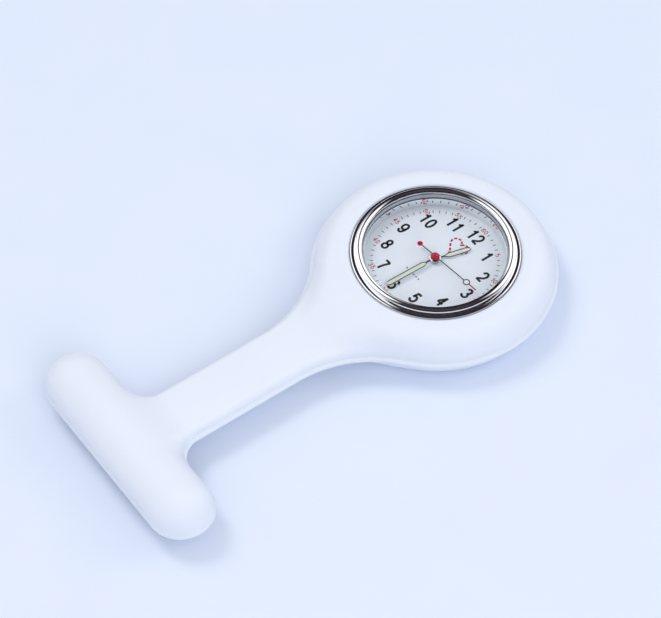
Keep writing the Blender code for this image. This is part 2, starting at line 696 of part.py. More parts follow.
def make_main_plate(head, finish):
    plate = make_object("main_plate", prism(movement_outline(), PLATE_Z, PLATE_TOP_Z), finish, head)
    high = PLATE_Z + OVERLAP
    pillars = posts(pillar_places()[:2], PILLAR_RADIUS, BRIDGE_TOP_Z + GAP, high)
    clamp_pillar = posts(pillar_places()[2:], PILLAR_RADIUS, BRIDGE_Z + CONTACT_THICKNESS + GAP, high)
    stud_top = DIAL_Z - LOOSE
    low = PLATE_TOP_Z - OVERLAP
    studs = [
        moved(rod(STUD_RADIUS, low, stud_top, FINE_STEPS), *minute_place()),
        moved(rod(STUD_RADIUS, low, LEVER_Z + 3 * LEVER_THICKNESS, FINE_STEPS), *setting_place()),
        moved(rod(STUD_RADIUS, low, LEVER_Z + 2 * LEVER_THICKNESS, FINE_STEPS), *LEVER_PIVOT),
        moved(rod(STUD_RADIUS, low, LEVER_Z + 2 * LEVER_THICKNESS, FINE_STEPS), *YOKE_PIVOT),
    ]
    join(plate, pillars, clamp_pillar, together(studs))
    below = PLATE_Z - OVERLAP
    above = PLATE_TOP_Z + OVERLAP
    slot_half = CLUTCH_RADIUS + LOOSE
    slot_x = CLUTCH_X - CLUTCH_TRAVEL - LOOSE
    slot = block((slot_x, -slot_half, below), (MOVEMENT_RADIUS, slot_half, above))
    pilot = STEM_PILOT_RADIUS + LOOSE
    pilot_slot = block((STEM_INNER_END - LOOSE, -pilot, below), (CLUTCH_X, pilot, above))
    battery_hole = moved(rod(BATTERY_RADIUS + LOOSE, below, above, ROUND_STEPS), y=BATTERY_Y)
    coil_x = COIL_HALF + LOOSE
    coil_reach = COIL_RADIUS + LOOSE
    window = block((-coil_x, COIL_Y - coil_reach, below), (coil_x, COIL_Y + coil_reach, above))
    cut(plate, slot, pilot_slot, battery_hole, window)
    pivot = ARBOR_RADIUS + PIVOT_CLEARANCE
    pivots = posts([third_place(), intermediate_place(), rotor_place()], pivot, below, above, FINE_STEPS)
    centre = rod(CENTRE_PIPE_RADIUS + LOOSE, below, above)
    screws = posts(pillar_places(), SCREW_RADIUS + GAP, BRIDGE_Z, PLATE_Z, FINE_STEPS)
    cut(plate, pivots, centre, screws)


def make_train_bridge(head, finish):
    """A thin plate behind the train, from one pillar to the other."""
    left, right = pillar_places()[:2]
    reach = PILLAR_RADIUS
    top_y = rotor_place()[1] + 2 * PILLAR_RADIUS
    outline = [
        (left[0] - reach, left[1] - reach),
        (-2 * reach, -2 * reach),
        (2 * reach, -2 * reach),
        (right[0] + reach, right[1] - reach),
        (right[0] + reach, right[1] + reach),
        (rotor_place()[0] + reach, top_y),
        (left[0] - reach, top_y),
    ]
    bridge = make_object("train_bridge", prism(outline, BRIDGE_Z, BRIDGE_TOP_Z), finish, head)
    low = BRIDGE_Z - OVERLAP
    high = BRIDGE_TOP_Z + OVERLAP
    pivot = ARBOR_RADIUS + PIVOT_CLEARANCE
    centre = SECONDS_ARBOR_RADIUS + PIVOT_CLEARANCE
    places = [third_place(), intermediate_place(), rotor_place()]
    cut(bridge, posts(places, pivot, low, high, FINE_STEPS), rod(centre, low, high, FINE_STEPS))
    cut(bridge, posts([left, right], SCREW_RADIUS + GAP, low, high, FINE_STEPS))


def make_movement_screws(head, finish):
    """Each screw's head sits behind the bridge or the battery clamp. They all have one shape."""
    for number, (x, y) in enumerate(pillar_places(), 1):
        head_z = BRIDGE_Z - GAP
        profile = [
            (0, head_z - SCREW_HEAD_HEIGHT),
            (SCREW_HEAD_RADIUS, head_z - SCREW_HEAD_HEIGHT),
            (SCREW_HEAD_RADIUS, head_z),
            (SCREW_RADIUS, head_z),
            (SCREW_RADIUS, head_z + SCREW_LENGTH),
            (0, head_z + SCREW_LENGTH),
        ]
        screw = make_object(
            f"movement_screw_{number}", turned(profile, SMALL_STEPS), finish, head, (x, y, 0)
        )
        half = SCREW_HEAD_RADIUS + OVERLAP
        low = (-half, -SCREW_SLOT / 2, head_z - SCREW_HEAD_HEIGHT - OVERLAP)
        high = (half, SCREW_SLOT / 2, head_z - SCREW_HEAD_HEIGHT + SCREW_SLOT_DEPTH)
        cut(screw, block(low, high))


# Battery, circuit and motor


def make_battery(head, finish):
    top = BATTERY_Z + BATTERY_THICKNESS
    cap = BATTERY_RADIUS - BATTERY_STEP
    profile = [
        (0, BATTERY_Z),
        (BATTERY_RADIUS, BATTERY_Z),
        (BATTERY_RADIUS, top - BATTERY_STEP),
        (cap, top - BATTERY_STEP),
        (cap, top),
        (0, top),
    ]
    make_object("battery", turned(profile), finish, head, (0, BATTERY_Y, 0))


def make_battery_clamp(head, finish):
    """The positive contact: a strip behind the battery, held by the third pillar's screw."""
    x, y = pillar_places()[2]
    reach = SCREW_HEAD_RADIUS
    top = BATTERY_Z - GAP
    strip = block((-BATTERY_RADIUS, y - reach, top - CONTACT_THICKNESS), (x + reach, y + reach, top))
    clamp = make_object("battery_clamp", strip, finish, head)
    tab_top = BRIDGE_Z + CONTACT_THICKNESS
    inner_x = BATTERY_RADIUS + 2 * LOOSE
    outer_x = inner_x + CONTACT_THICKNESS
    step = block((inner_x, y - reach, top - CONTACT_THICKNESS), (outer_x, y + reach, tab_top))
    tab = block((inner_x, y - reach, BRIDGE_Z), (x + reach, y + reach, tab_top))
    join(clamp, step, tab)
    trim = block((outer_x, y - PILLAR_RADIUS, 0), (x + PILLAR_RADIUS, y + PILLAR_RADIUS, BRIDGE_Z))
    hole = moved(rod(SCREW_RADIUS + GAP, 0, PLATE_Z, FINE_STEPS), x, y)
    cut(clamp, trim, hole)


def make_negative_contact(head, finish):
    """A leaf on the dial side that bends down to touch the battery's cap."""
    low = PLATE_TOP_Z + GAP
    half = 3 * CONTACT_THICKNESS
    outer_x = -(BATTERY_RADIUS + PILLAR_RADIUS)
    leaf = block((outer_x, BATTERY_Y - half, low), (half, BATTERY_Y + half, low + CONTACT_THICKNESS))
    contact = make_object("negative_contact", leaf, finish, head)
    finger_low = BATTERY_Z + BATTERY_THICKNESS + GAP
    finger = block((-half, BATTERY_Y - half, finger_low), (half, BATTERY_Y + half, low + CONTACT_THICKNESS))
    join(contact, finger)


def board_outline():
    """The circuit board fills the 9 o'clock side, round the battery."""
    inner_x = -(BATTERY_RADIUS + BOARD_GAP)
    outer_x = -(MOVEMENT_HALF_WIDTH - 2 * LOOSE)
    return [
        (outer_x, -BOARD_OUTER_Y),
        (inner_x, BATTERY_Y),
        (inner_x, -BOARD_INNER_Y),
        (inner_x - BOARD_STEP, 0),
        (inner_x - BOARD_STEP, BOARD_INNER_Y),
        (outer_x, BOARD_OUTER_Y),
    ]


def make_circuit(head, board_finish, chip_finish, can_finish):
    top = BOARD_Z + BOARD_THICKNESS
    make_object("circuit_board", prism(board_outline(), BOARD_Z, top), board_finish, head)
    can_x = -(MOVEMENT_HALF_WIDTH - CRYSTAL_CAN_RADIUS - 3 * LOOSE)
    can = rod(CRYSTAL_CAN_RADIUS, -CRYSTAL_CAN_LENGTH / 2, CRYSTAL_CAN_LENGTH / 2)
    place = (can_x, 0, top + GAP + CRYSTAL_CAN_RADIUS)
    make_object("quartz_crystal", along_y(can), can_finish, head, place)
    chip_x = can_x + CRYSTAL_CAN_RADIUS + LOOSE
    chip_y = BATTERY_Y / 2
    chip = block(
        (chip_x, chip_y - CHIP_SIDE / 2, top + GAP),
        (chip_x + CHIP_SIDE, chip_y + CHIP_SIDE / 2, top + GAP + CHIP_HEIGHT),
    )
    make_object("circuit_chip", chip, chip_finish, head)


def make_motor_core(head, core_finish, wire_finish, stator_finish):
    """The coil on its core, and the stator plate with the rotor's hole."""
    core_low = STATOR_Z + STATOR_THICKNESS + GAP
    core = box_outline((-CORE_HALF, COIL_Y - CORE_HALF_WIDTH), (CORE_HALF, COIL_Y + CORE_HALF_WIDTH))
    make_object("coil_core", prism(core, core_low, core_low + STATOR_THICKNESS), core_finish, head)
    middle_z = core_low + STATOR_THICKNESS / 2
    winding = make_object(
        "coil_winding",
        along_x(rod(COIL_RADIUS, -COIL_HALF, COIL_HALF)),
        wire_finish,
        head,
        (0, COIL_Y, middle_z),
    )
    bore_half = STATOR_THICKNESS / 2 + GAP
    bore = block(
        (-CORE_HALF, -CORE_HALF_WIDTH - GAP, -bore_half), (CORE_HALF, CORE_HALF_WIDTH + GAP, bore_half)
    )
    cut(winding, bore)
    x, y = rotor_place()
    ring = STATOR_RING_RADIUS
    foot = CORE_HALF_WIDTH * 2
    leg_top = COIL_Y + CORE_HALF_WIDTH
    outline = [
        (x - ring, y - ring / 2),
        (x + ring, y - ring / 2),
        (x + ring, COIL_Y - COIL_RADIUS - foot),
        (CORE_HALF, COIL_Y - COIL_RADIUS - foot),
        (CORE_HALF, leg_top),
        (CORE_HALF - foot, leg_top),
        (CORE_HALF - foot, COIL_Y - COIL_RADIUS - foot / 4),
        (-CORE_HALF + foot, COIL_Y - COIL_RADIUS - foot / 4),
        (-CORE_HALF + foot, leg_top),
        (-CORE_HALF, leg_top),
        (-CORE_HALF, COIL_Y - COIL_RADIUS - foot),
        (x - ring, COIL_Y - COIL_RADIUS - foot),
    ]
    stator = make_object(
        "stator", prism(outline, STATOR_Z, STATOR_Z + STATOR_THICKNESS), stator_finish, head
    )
    low = STATOR_Z - OVERLAP
    high = STATOR_Z + STATOR_THICKNESS + OVERLAP
    pillar_holes = posts(pillar_places(), PILLAR_RADIUS + LOOSE, low, high)
    cut(stator, moved(rod(STATOR_HOLE, low, high), x, y), pillar_holes)


# The train


def wheel_blank(teeth, module, phase, low, thickness=WHEEL_THICKNESS):
    return prism(gear_outline(teeth, module, phase), low, low + thickness)


def train_phases():
    """The angle of one tooth of each gear, so that every pair is in mesh with the hands as they stand."""
    phases = {"seconds": 0.0, "seconds_pinion": 0.0, "cannon": 0.0}
    intermediate = meshing_phase(SECONDS_TEETH, 0.0, LEAVES, INTERMEDIATE_ANGLE)
    third = meshing_phase(LEAVES, 0.0, THIRD_TEETH, THIRD_ANGLE)
    minute = meshing_phase(CANNON_LEAVES, 0.0, MINUTE_TEETH, MINUTE_ANGLE)
    phases["intermediate"] = intermediate
    phases["third"] = third
    phases["minute"] = minute
    phases["rotor"] = meshing_phase(INTERMEDIATE_TEETH, intermediate, LEAVES, ROTOR_ANGLE)
    phases["centre"] = meshing_phase(LEAVES, third, CENTRE_TEETH, THIRD_ANGLE + math.pi)
    phases["hour"] = meshing_phase(MINUTE_LEAVES, minute, HOUR_TEETH, MINUTE_ANGLE + math.pi)
    phases["setting"] = meshing_phase(MINUTE_TEETH, minute, SETTING_TEETH, SETTING_ANGLE)
    return phases


def make_rotor(head, phases, finish):
    arbor = rod(ARBOR_RADIUS, ARBOR_LOW_Z, ARBOR_HIGH_Z, FINE_STEPS)
    rotor = make_object("rotor", arbor, finish, head, (*rotor_place(), 0))
    leaves = wheel_blank(LEAVES, ROTOR_MODULE, phases["rotor"], INTERMEDIATE_Z - LOOSE / 2, PINION_THICKNESS)
    join(rotor, leaves, rod(MAGNET_RADIUS, MAGNET_Z, MAGNET_Z + MAGNET_HEIGHT))


def make_intermediate_wheel(head, phases, finish):
    arbor = rod(ARBOR_RADIUS, ARBOR_LOW_Z, ARBOR_HIGH_Z, FINE_STEPS)
    wheel = make_object("intermediate_wheel", arbor, finish, head, (*intermediate_place(), 0))
    phase = phases["intermediate"]
    join(
        wheel,
        wheel_blank(INTERMEDIATE_TEETH, ROTOR_MODULE, phase, INTERMEDIATE_Z),
        wheel_blank(LEAVES, SECONDS_MODULE, phase, SECONDS_Z - GAP, PINION_THICKNESS - LOOSE),
    )


def make_seconds_wheel(head, phases, finish):
    """The fourth wheel, whose long arbor carries the second hand."""
    arbor = rod(SECONDS_ARBOR_RADIUS, ARBOR_LOW_Z, SECOND_HAND_Z + HAND_THICKNESS, FINE_STEPS)
    wheel = make_object("seconds_wheel", arbor, finish, head)
    join(
        wheel,
        wheel_blank(SECONDS_TEETH, SECONDS_MODULE, phases["seconds"], SECONDS_Z),
        wheel_blank(LEAVES, THIRD_MODULE, phases["seconds_pinion"], THIRD_Z - LOOSE / 2, PINION_THICKNESS),
    )


def make_third_wheel(head, phases, finish):
    arbor = rod(ARBOR_RADIUS, ARBOR_LOW_Z, ARBOR_HIGH_Z, FINE_STEPS)
    wheel = make_object("third_wheel", arbor, finish, head, (*third_place(), 0))
    join(
        wheel,
        wheel_blank(THIRD_TEETH, THIRD_MODULE, phases["third"], THIRD_Z),
        wheel_blank(LEAVES, CENTRE_MODULE, phases["third"], CENTRE_Z - LOOSE / 2, PINION_THICKNESS),
    )


def make_centre_wheel(head, phases, finish):
    """The centre wheel and its hollow cannon, which carries the minute hand."""
    top = MINUTE_HAND_Z + HAND_THICKNESS
    pipe = rod(CENTRE_PIPE_RADIUS, CENTRE_Z - LOOSE / 2, top)
    wheel = make_object("centre_wheel", pipe, finish, head)
    cannon = wheel_blank(CANNON_LEAVES, MOTION_MODULE, phases["cannon"], MINUTE_Z - LOOSE, PINION_THICKNESS)
    join(wheel, wheel_blank(CENTRE_TEETH, CENTRE_MODULE, phases["centre"], CENTRE_Z), cannon)
    cut(wheel, rod(CENTRE_PIPE_BORE, CENTRE_Z - OVERLAP, top + OVERLAP))


def make_minute_wheel(head, phases, finish):
    top = DIAL_Z - 2 * LOOSE
    blank = wheel_blank(MINUTE_TEETH, MOTION_MODULE, phases["minute"], MINUTE_Z)
    wheel = make_object("minute_wheel", blank, finish, head, (*minute_place(), 0))
    low = MINUTE_Z + LOOSE
    leaves = wheel_blank(MINUTE_LEAVES, MOTION_MODULE, phases["minute"], low, top - low)
    join(wheel, leaves)
    cut(wheel, rod(STUD_RADIUS + PIVOT_CLEARANCE, MINUTE_Z - OVERLAP, top + OVERLAP, FINE_STEPS))


def make_hour_wheel(head, phases, finish):
    top = HOUR_HAND_Z + HAND_THICKNESS
    wheel = make_object("hour_wheel", rod(HOUR_PIPE_RADIUS, HOUR_Z, top), finish, head)
    join(wheel, wheel_blank(HOUR_TEETH, MOTION_MODULE, phases["hour"], HOUR_Z))
    cut(wheel, rod(HOUR_PIPE_BORE, HOUR_Z - OVERLAP, top + OVERLAP))


def make_setting_wheel(head, phases, finish):
    blank = wheel_blank(SETTING_TEETH, MOTION_MODULE, phases["setting"], LEVER_Z, LEVER_THICKNESS)
    wheel = make_object("setting_wheel", blank, finish, head, (*setting_place(), 0))
    bore = STUD_RADIUS + PIVOT_CLEARANCE
    cut(wheel, rod(bore, LEVER_Z - OVERLAP, LEVER_Z + LEVER_THICKNESS + OVERLAP, FINE_STEPS))


# Hands


def baton_outline(length):
    """A baton hand that points to 12: a narrow neck out of the hub, then a straight blade and a point."""
    half = HAND_WIDTH / 2
    neck = HAND_NECK_WIDTH / 2
    shoulder = HAND_HUB_RADIUS * 2.1
    right = [(neck, 0), (neck, shoulder), (half, shoulder + half), (half, length - half), (neck / 2, length)]
    return right + [(-x, y) for x, y in reversed(right)]


def make_baton_hand(name, head, finish, length, height, pipe_radius, angle):
    blade = prism(baton_outline(length), height, height + HAND_THICKNESS)
    hand = make_object(name, blade, finish, head, turn=angle)
    join(hand, rod(HAND_HUB_RADIUS, height, height + HAND_THICKNESS + LOOSE))
    cut(hand, rod(pipe_radius + HAND_FIT, height - OVERLAP, height + HAND_THICKNESS + OVERLAP + LOOSE))


def make_second_hand(head, finish):
    low = SECOND_HAND_Z
    high = low + HAND_THICKNESS
    half = SECOND_HAND_WIDTH / 2
    hand = make_object(
        "second_hand", block((-half, -SECOND_TAIL, low), (half, SECOND_HAND_LENGTH, high)), finish, head,
        turn=SECOND_ANGLE,
    )
    ring = tube(SECOND_RING_RADIUS - SECOND_HAND_WIDTH, SECOND_RING_RADIUS, low, high, SMALL_STEPS)
    disc = moved(rod(SECOND_TAIL_RADIUS, low, high), y=-SECOND_TAIL)
    hub = rod(SECOND_HUB_RADIUS, low, high + SECOND_CAP_HEIGHT)
    join(hand, moved(ring, y=SECOND_RING_AT), disc, hub)
    cut(hand, rod(SECONDS_ARBOR_RADIUS + HAND_FIT, low - OVERLAP, high + HAND_FIT, FINE_STEPS))


# Crown, stem and keyless work. Their axis is along +X at the stem's height


def stem_end():
    return CROWN_X + (CROWN_RECESS_DEPTH + 2 * CROWN_LENGTH) / 3


def make_crown(head, finish, rubber):
    """A ridged crown with a hollow that slides over the case's tube, and the ring that seals between them."""
    outline = []
    for i in range(CROWN_RIDGES):
        middle = 2 * math.pi * i / CROWN_RIDGES
        quarter = math.pi / CROWN_RIDGES / 2
        outline.append(polar(CROWN_RADIUS, middle - quarter))
        outline.append(polar(CROWN_RADIUS, middle + quarter))
        outline.append(polar(CROWN_RADIUS - CROWN_RIDGE_DEPTH, middle + math.pi / CROWN_RIDGES))
    grip = along_x(prism(outline, CROWN_X, CROWN_X + CROWN_LENGTH))
    crown = make_object("crown", grip, finish, head, (0, 0, STEM_Z))
    recess_end = CROWN_X + CROWN_RECESS_DEPTH
    recess = rod(CROWN_RECESS_RADIUS, CROWN_X - OVERLAP, recess_end)
    bore = rod(STEM_RADIUS + GAP, recess_end - OVERLAP, stem_end() + GAP)
    cut(crown, along_x(recess), along_x(bore))
    low = CROWN_X + GAP
    seal = tube(TUBE_RADIUS + GAP, CROWN_RECESS_RADIUS - GAP, low, low + CROWN_GASKET_WIDTH, SMALL_STEPS)
    make_object("crown_gasket", along_x(seal), rubber, head, (0, 0, STEM_Z))


def make_stem(head, finish):
    groove_low = STEM_GROOVE_X - STEM_GROOVE_WIDTH / 2
    groove_high = STEM_GROOVE_X + STEM_GROOVE_WIDTH / 2
    end = stem_end()
    profile = [
        (0, STEM_INNER_END),
        (STEM_PILOT_RADIUS, STEM_INNER_END),
        (STEM_PILOT_RADIUS, groove_low),
        (STEM_GROOVE_RADIUS, groove_low),
        (STEM_GROOVE_RADIUS, groove_high),
        (STEM_RADIUS, groove_high),
        (STEM_RADIUS, end),
        (0, end),
    ]
    make_object("stem", along_x(turned(profile, SMALL_STEPS)), finish, head, (0, 0, STEM_Z))


def make_clutch_pinion(head, finish):
    bore = STEM_PILOT_RADIUS + GAP
    groove_low = CLUTCH_GROOVE_X - CLUTCH_GROOVE_WIDTH / 2
    groove_high = CLUTCH_GROOVE_X + CLUTCH_GROOVE_WIDTH / 2
    end = CLUTCH_X + CLUTCH_LENGTH
    profile = [
        (bore, CLUTCH_X),
        (CLUTCH_RADIUS, CLUTCH_X),
        (CLUTCH_RADIUS, groove_low),
        (CLUTCH_GROOVE_RADIUS, groove_low),
        (CLUTCH_GROOVE_RADIUS, groove_high),
        (CLUTCH_RADIUS, groove_high),
        (CLUTCH_RADIUS, end),
        (bore, end),
    ]
    make_object("clutch_pinion", along_x(turned(profile, SMALL_STEPS)), finish, head, (0, 0, STEM_Z))


def lever_shape(tip, root_half, tip_half):
    """A flat lever about its own pivot. It narrows over its first half, then stays narrow to its tip."""
    length = math.hypot(*tip)
    angle = math.atan2(tip[1], tip[0])
    right = [(0, -root_half), (length / 2, -tip_half), (length, -tip_half)]
    blade = [*right, (length + tip_half, 0), *[(x, -y) for x, y in reversed(right)]]
    turn = Matrix.Rotation(angle, 3, "Z")
    mesh = prism(blade, LEVER_Z, LEVER_Z + LEVER_THICKNESS)
    bmesh.ops.rotate(mesh, verts=mesh.verts, matrix=turn)
    return mesh


def make_levers(head, finish):
    """The setting lever's pin runs in the stem's groove, and the yoke's tip in the clutch's."""
    top = LEVER_Z + LEVER_THICKNESS
    half = LEVER_WIDTH / 2
    bore = rod(STUD_RADIUS + PIVOT_CLEARANCE, LEVER_Z - OVERLAP, top + OVERLAP, FINE_STEPS)
    tip = (STEM_GROOVE_X - LEVER_PIVOT[0], -LEVER_PIVOT[1])
    lever = make_object(
        "setting_lever", lever_shape(tip, half, LEVER_PIN_RADIUS), finish, head, (*LEVER_PIVOT, 0)
    )
    pin_low = STEM_Z + STEM_GROOVE_RADIUS + GAP
    pin = moved(rod(LEVER_PIN_RADIUS, pin_low, top, FINE_STEPS), *tip)
    join(lever, rod(half + LOOSE, LEVER_Z, top), pin)
    cut(lever, bore.copy())
    yoke_tip = (CLUTCH_GROOVE_X - YOKE_PIVOT[0], -YOKE_PIVOT[1])
    yoke = make_object(
        "yoke", lever_shape(yoke_tip, half, YOKE_TIP_WIDTH / 2), finish, head, (*YOKE_PIVOT, 0)
    )
    join(yoke, rod(half + LOOSE, LEVER_Z, top))
    cut(yoke, bore)


# The brooch


def make_brooch_plate(bar, finish):
    half_x = BROOCH_HALF_LENGTH
    half_y = BROOCH_HALF_WIDTH
    plate = make_object(
        "brooch_plate", block((-half_x, -half_y, BROOCH_Z), (half_x, half_y, BROOCH_TOP_Z)), finish, bar
    )
    inner = EYE_HALF_WIDTH + LOOSE
    outer = inner + EAR_THICKNESS
    ear_reach = EYE_RADIUS + LOOSE
    low = NEEDLE_Z - ear_reach
    high = BROOCH_Z + OVERLAP
    ears = [
        block((HINGE_X - ear_reach, side[0], low), (HINGE_X + ear_reach, side[1], high))
        for side in ((-outer, -inner), (inner, outer))
    ]
    post_low = NEEDLE_Z + (CATCH_RADIUS + CATCH_BORE) / 2
    post = block((CATCH_X, -SLOT_WIDTH / 2, post_low), (CATCH_X + CATCH_POST_LENGTH, SLOT_WIDTH / 2, high))
    barrel = along_x(tube(CATCH_BORE, CATCH_RADIUS, CATCH_X, CATCH_X + CATCH_LENGTH, SMALL_STEPS), z=NEEDLE_Z)
    join(plate, together(ears), barrel, post)
    mouth_low = (CATCH_X - OVERLAP, -SLOT_WIDTH / 2, NEEDLE_Z - COLLAR_RADIUS)
    mouth_high = (CATCH_X + CATCH_LENGTH + OVERLAP, SLOT_WIDTH / 2, NEEDLE_Z)
    hole = along_y(rod(RIVET_RADIUS + GAP, -outer - OVERLAP, outer + OVERLAP), HINGE_X, NEEDLE_Z)
    cut(plate, block(mouth_low, mouth_high), hole)


def make_hinge_rivet(bar, finish):
    outer = EYE_HALF_WIDTH + LOOSE + EAR_THICKNESS + GAP
    head = outer + RIVET_HEAD
    profile = [
        (0, -head),
        (RIVET_HEAD_RADIUS, -head),
        (RIVET_HEAD_RADIUS, -outer),
        (RIVET_RADIUS, -outer),
        (RIVET_RADIUS, outer),
        (RIVET_HEAD_RADIUS, outer),
        (RIVET_HEAD_RADIUS, head),
        (0, head),
    ]
    make_object("hinge_rivet", along_y(turned(profile, SMALL_STEPS)), finish, bar, (HINGE_X, 0, NEEDLE_Z))


def make_needle(bar, finish):
    """The needle's origin is on its hinge. It runs along +X and ends in a long point."""
    length = NEEDLE_TIP_X - HINGE_X
    shank = length - NEEDLE_POINT_LENGTH
    profile = [(0, 0), (NEEDLE_RADIUS, 0), (NEEDLE_RADIUS, shank), (NEEDLE_TIP_RADIUS, length), (0, length)]
    needle = make_object(
        "needle", along_x(turned(profile, SMALL_STEPS)), finish, bar, (HINGE_X, 0, NEEDLE_Z)
    )
    eye = along_y(rod(EYE_RADIUS, -EYE_HALF_WIDTH, EYE_HALF_WIDTH))
    join(needle, eye)
    cut(needle, along_y(rod(RIVET_RADIUS + 2 * GAP, -EYE_RADIUS, EYE_RADIUS)))


def make_safety_collar(bar, finish):
    """The turning collar of the catch. Its slot faces down when the needle is free to leave."""
    start = CATCH_X + CATCH_POST_LENGTH + LOOSE
    end = CATCH_X + CATCH_LENGTH - LOOSE
    ring = along_x(tube(CATCH_RADIUS + GAP, COLLAR_RADIUS, start, end, SMALL_STEPS))
    collar = make_object("safety_collar", ring, finish, bar, (0, 0, NEEDLE_Z))
    tab_end = COLLAR_RADIUS + COLLAR_TAB
    tab = block((start + LOOSE, COLLAR_RADIUS - OVERLAP, -OVERLAP), (end - LOOSE, tab_end, OVERLAP))
    join(collar, tab)
    half = SLOT_WIDTH / 2
    cut(collar, block((start - OVERLAP, -half, -2 * COLLAR_RADIUS), (end + OVERLAP, half, 0)))


def build():
    clear_scene()
    head = make_empty("head_axis", (0, HEAD_Y, 0))
    bar = make_empty("bar_axis", (0, BAR_Y, 0))
    silicone = make_material("white_silicone", (0.82, 0.84, 0.9), 0.45)
    polished = make_material("polished_steel", (0.72, 0.73, 0.76), 0.12, 1.0)
    brushed = make_material("brushed_steel", (0.6, 0.61, 0.63), 0.35, 1.0)
    brass = make_material("brass", (0.8, 0.62, 0.3), 0.3, 1.0)
    copper = make_material("copper_wire", (0.72, 0.36, 0.2), 0.35, 1.0)
    plastic = make_material("holder_plastic", (0.85, 0.85, 0.83), 0.5)
    dark = make_material("black_plastic", (0.03, 0.03, 0.035), 0.4)
    rubber = make_material("grey_rubber", (0.2, 0.21, 0.22), 0.6)
    board = make_material("circuit_green", (0.05, 0.22, 0.12), 0.45)
    glass = make_material("mineral_glass", (0.9, 0.95, 1.0), 0.03, 0.0, 0.3)
    dial_paint = make_material("dial_white", (0.8, 0.86, 0.95), 0.4)
    red = make_material("second_hand_red", (0.55, 0.03, 0.06), 0.35)
    make_silicone_body(head, silicone)
    make_case(head, brushed)
    make_case_back(head, brushed)
    make_case_back_gasket(head, rubber)
    make_bezel(head, polished)
    make_crystal(head, glass, rubber)
    make_rehaut_ring(head, polished)
    make_dial(head, dial_paint)
    make_movement_holder(head, plastic)
    make_main_plate(head, plastic)
    make_train_bridge(head, brushed)
    make_movement_screws(head, polished)
    make_battery(head, polished)
    make_battery_clamp(head, brushed)
    make_negative_contact(head, brass)
    make_circuit(head, board, dark, brushed)
    make_motor_core(head, brushed, copper, brushed)
    phases = train_phases()
    make_rotor(head, phases, dark)
    make_intermediate_wheel(head, phases, plastic)
    make_seconds_wheel(head, phases, brass)
    make_third_wheel(head, phases, plastic)
    make_centre_wheel(head, phases, brass)
    make_minute_wheel(head, phases, brass)
    make_hour_wheel(head, phases, brass)
    make_setting_wheel(head, phases, brass)
    make_baton_hand(
        "hour_hand", head, polished, HOUR_HAND_LENGTH, HOUR_HAND_Z, HOUR_PIPE_RADIUS, HOUR_ANGLE
    )
    make_baton_hand(
        "minute_hand",
        head,
        polished,
        MINUTE_HAND_LENGTH,
        MINUTE_HAND_Z,
        CENTRE_PIPE_RADIUS,
        MINUTE_HAND_ANGLE,
    )
    make_second_hand(head, red)
    make_crown(head, polished, rubber)
    make_stem(head, polished)
    make_clutch_pinion(head, polished)
    make_levers(head, brushed)
    make_brooch_plate(bar, brushed)
    make_hinge_rivet(bar, polished)
    make_needle(bar, polished)
    make_safety_collar(bar, polished)


build()
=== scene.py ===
# %% [markdown]
# # A nurse's fob watch
#
# The watch lies on its back on a pale table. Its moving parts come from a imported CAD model, which stays as
# it is. This script builds the visible surfaces around that model: the silicone cover, the polished metal,
# the glass, the printed dial, the hands and the brooch.

import json
import math

import bmesh
import bpy
import numpy as np
from mathutils import Matrix, Vector


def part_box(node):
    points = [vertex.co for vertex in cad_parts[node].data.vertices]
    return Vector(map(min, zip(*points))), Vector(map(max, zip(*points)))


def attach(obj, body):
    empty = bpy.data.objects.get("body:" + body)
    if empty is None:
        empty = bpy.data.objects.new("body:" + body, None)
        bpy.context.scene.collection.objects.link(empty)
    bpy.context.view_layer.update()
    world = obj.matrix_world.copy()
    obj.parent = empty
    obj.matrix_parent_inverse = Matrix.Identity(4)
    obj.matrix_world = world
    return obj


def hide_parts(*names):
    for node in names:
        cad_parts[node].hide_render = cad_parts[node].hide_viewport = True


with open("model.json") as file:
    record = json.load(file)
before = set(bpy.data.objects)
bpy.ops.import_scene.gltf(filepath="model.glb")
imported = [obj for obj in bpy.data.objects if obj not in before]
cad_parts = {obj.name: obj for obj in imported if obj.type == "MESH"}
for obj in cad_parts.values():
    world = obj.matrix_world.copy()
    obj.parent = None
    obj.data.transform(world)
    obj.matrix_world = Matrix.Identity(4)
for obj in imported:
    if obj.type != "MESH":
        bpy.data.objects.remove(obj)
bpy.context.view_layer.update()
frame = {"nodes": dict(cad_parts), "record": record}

# %% [markdown]
# The dial's axis is the natural centre of the head, and the middle of the brooch plate is the natural centre
# of the bar. Both places are read from the CAD boxes, so the shapes below can be worked out in millimetres
# round those two centres and then put in place.

# %% Where the head and the bar are
MM = 0.001


def box_mm(node):
    """The low and the high corner of a CAD node's box, in millimetres."""
    return [np.array(corner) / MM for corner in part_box(node)]


DIAL_LOW, DIAL_HIGH = box_mm("dial")
PLATE_LOW, PLATE_HIGH = box_mm("brooch_plate")
COVER_LOW, COVER_HIGH = box_mm("silicone_body")
HEAD_Y = (DIAL_LOW[1] + DIAL_HIGH[1]) / 2
BAR_Y = (PLATE_LOW[1] + PLATE_HIGH[1]) / 2
DIAL_Z = DIAL_HIGH[2]
BAR_BELOW_DIAL = HEAD_Y - BAR_Y
HEAD_RADIUS = COVER_HIGH[0]
BAR_RADIUS = BAR_Y - COVER_LOW[1]
print(f"dial axis at y = {HEAD_Y:.2f} mm, bar {BAR_BELOW_DIAL:.2f} mm below it")

# %% [markdown]
# ## From numbers to meshes
#
# A mesh is a list of points and a list of faces that join them. Every new piece here goes through one
# function, which merges doubled points, turns all faces outwards, keeps flat and round parts apart by the
# angle between faces, and tells the frame which body the piece rides on.


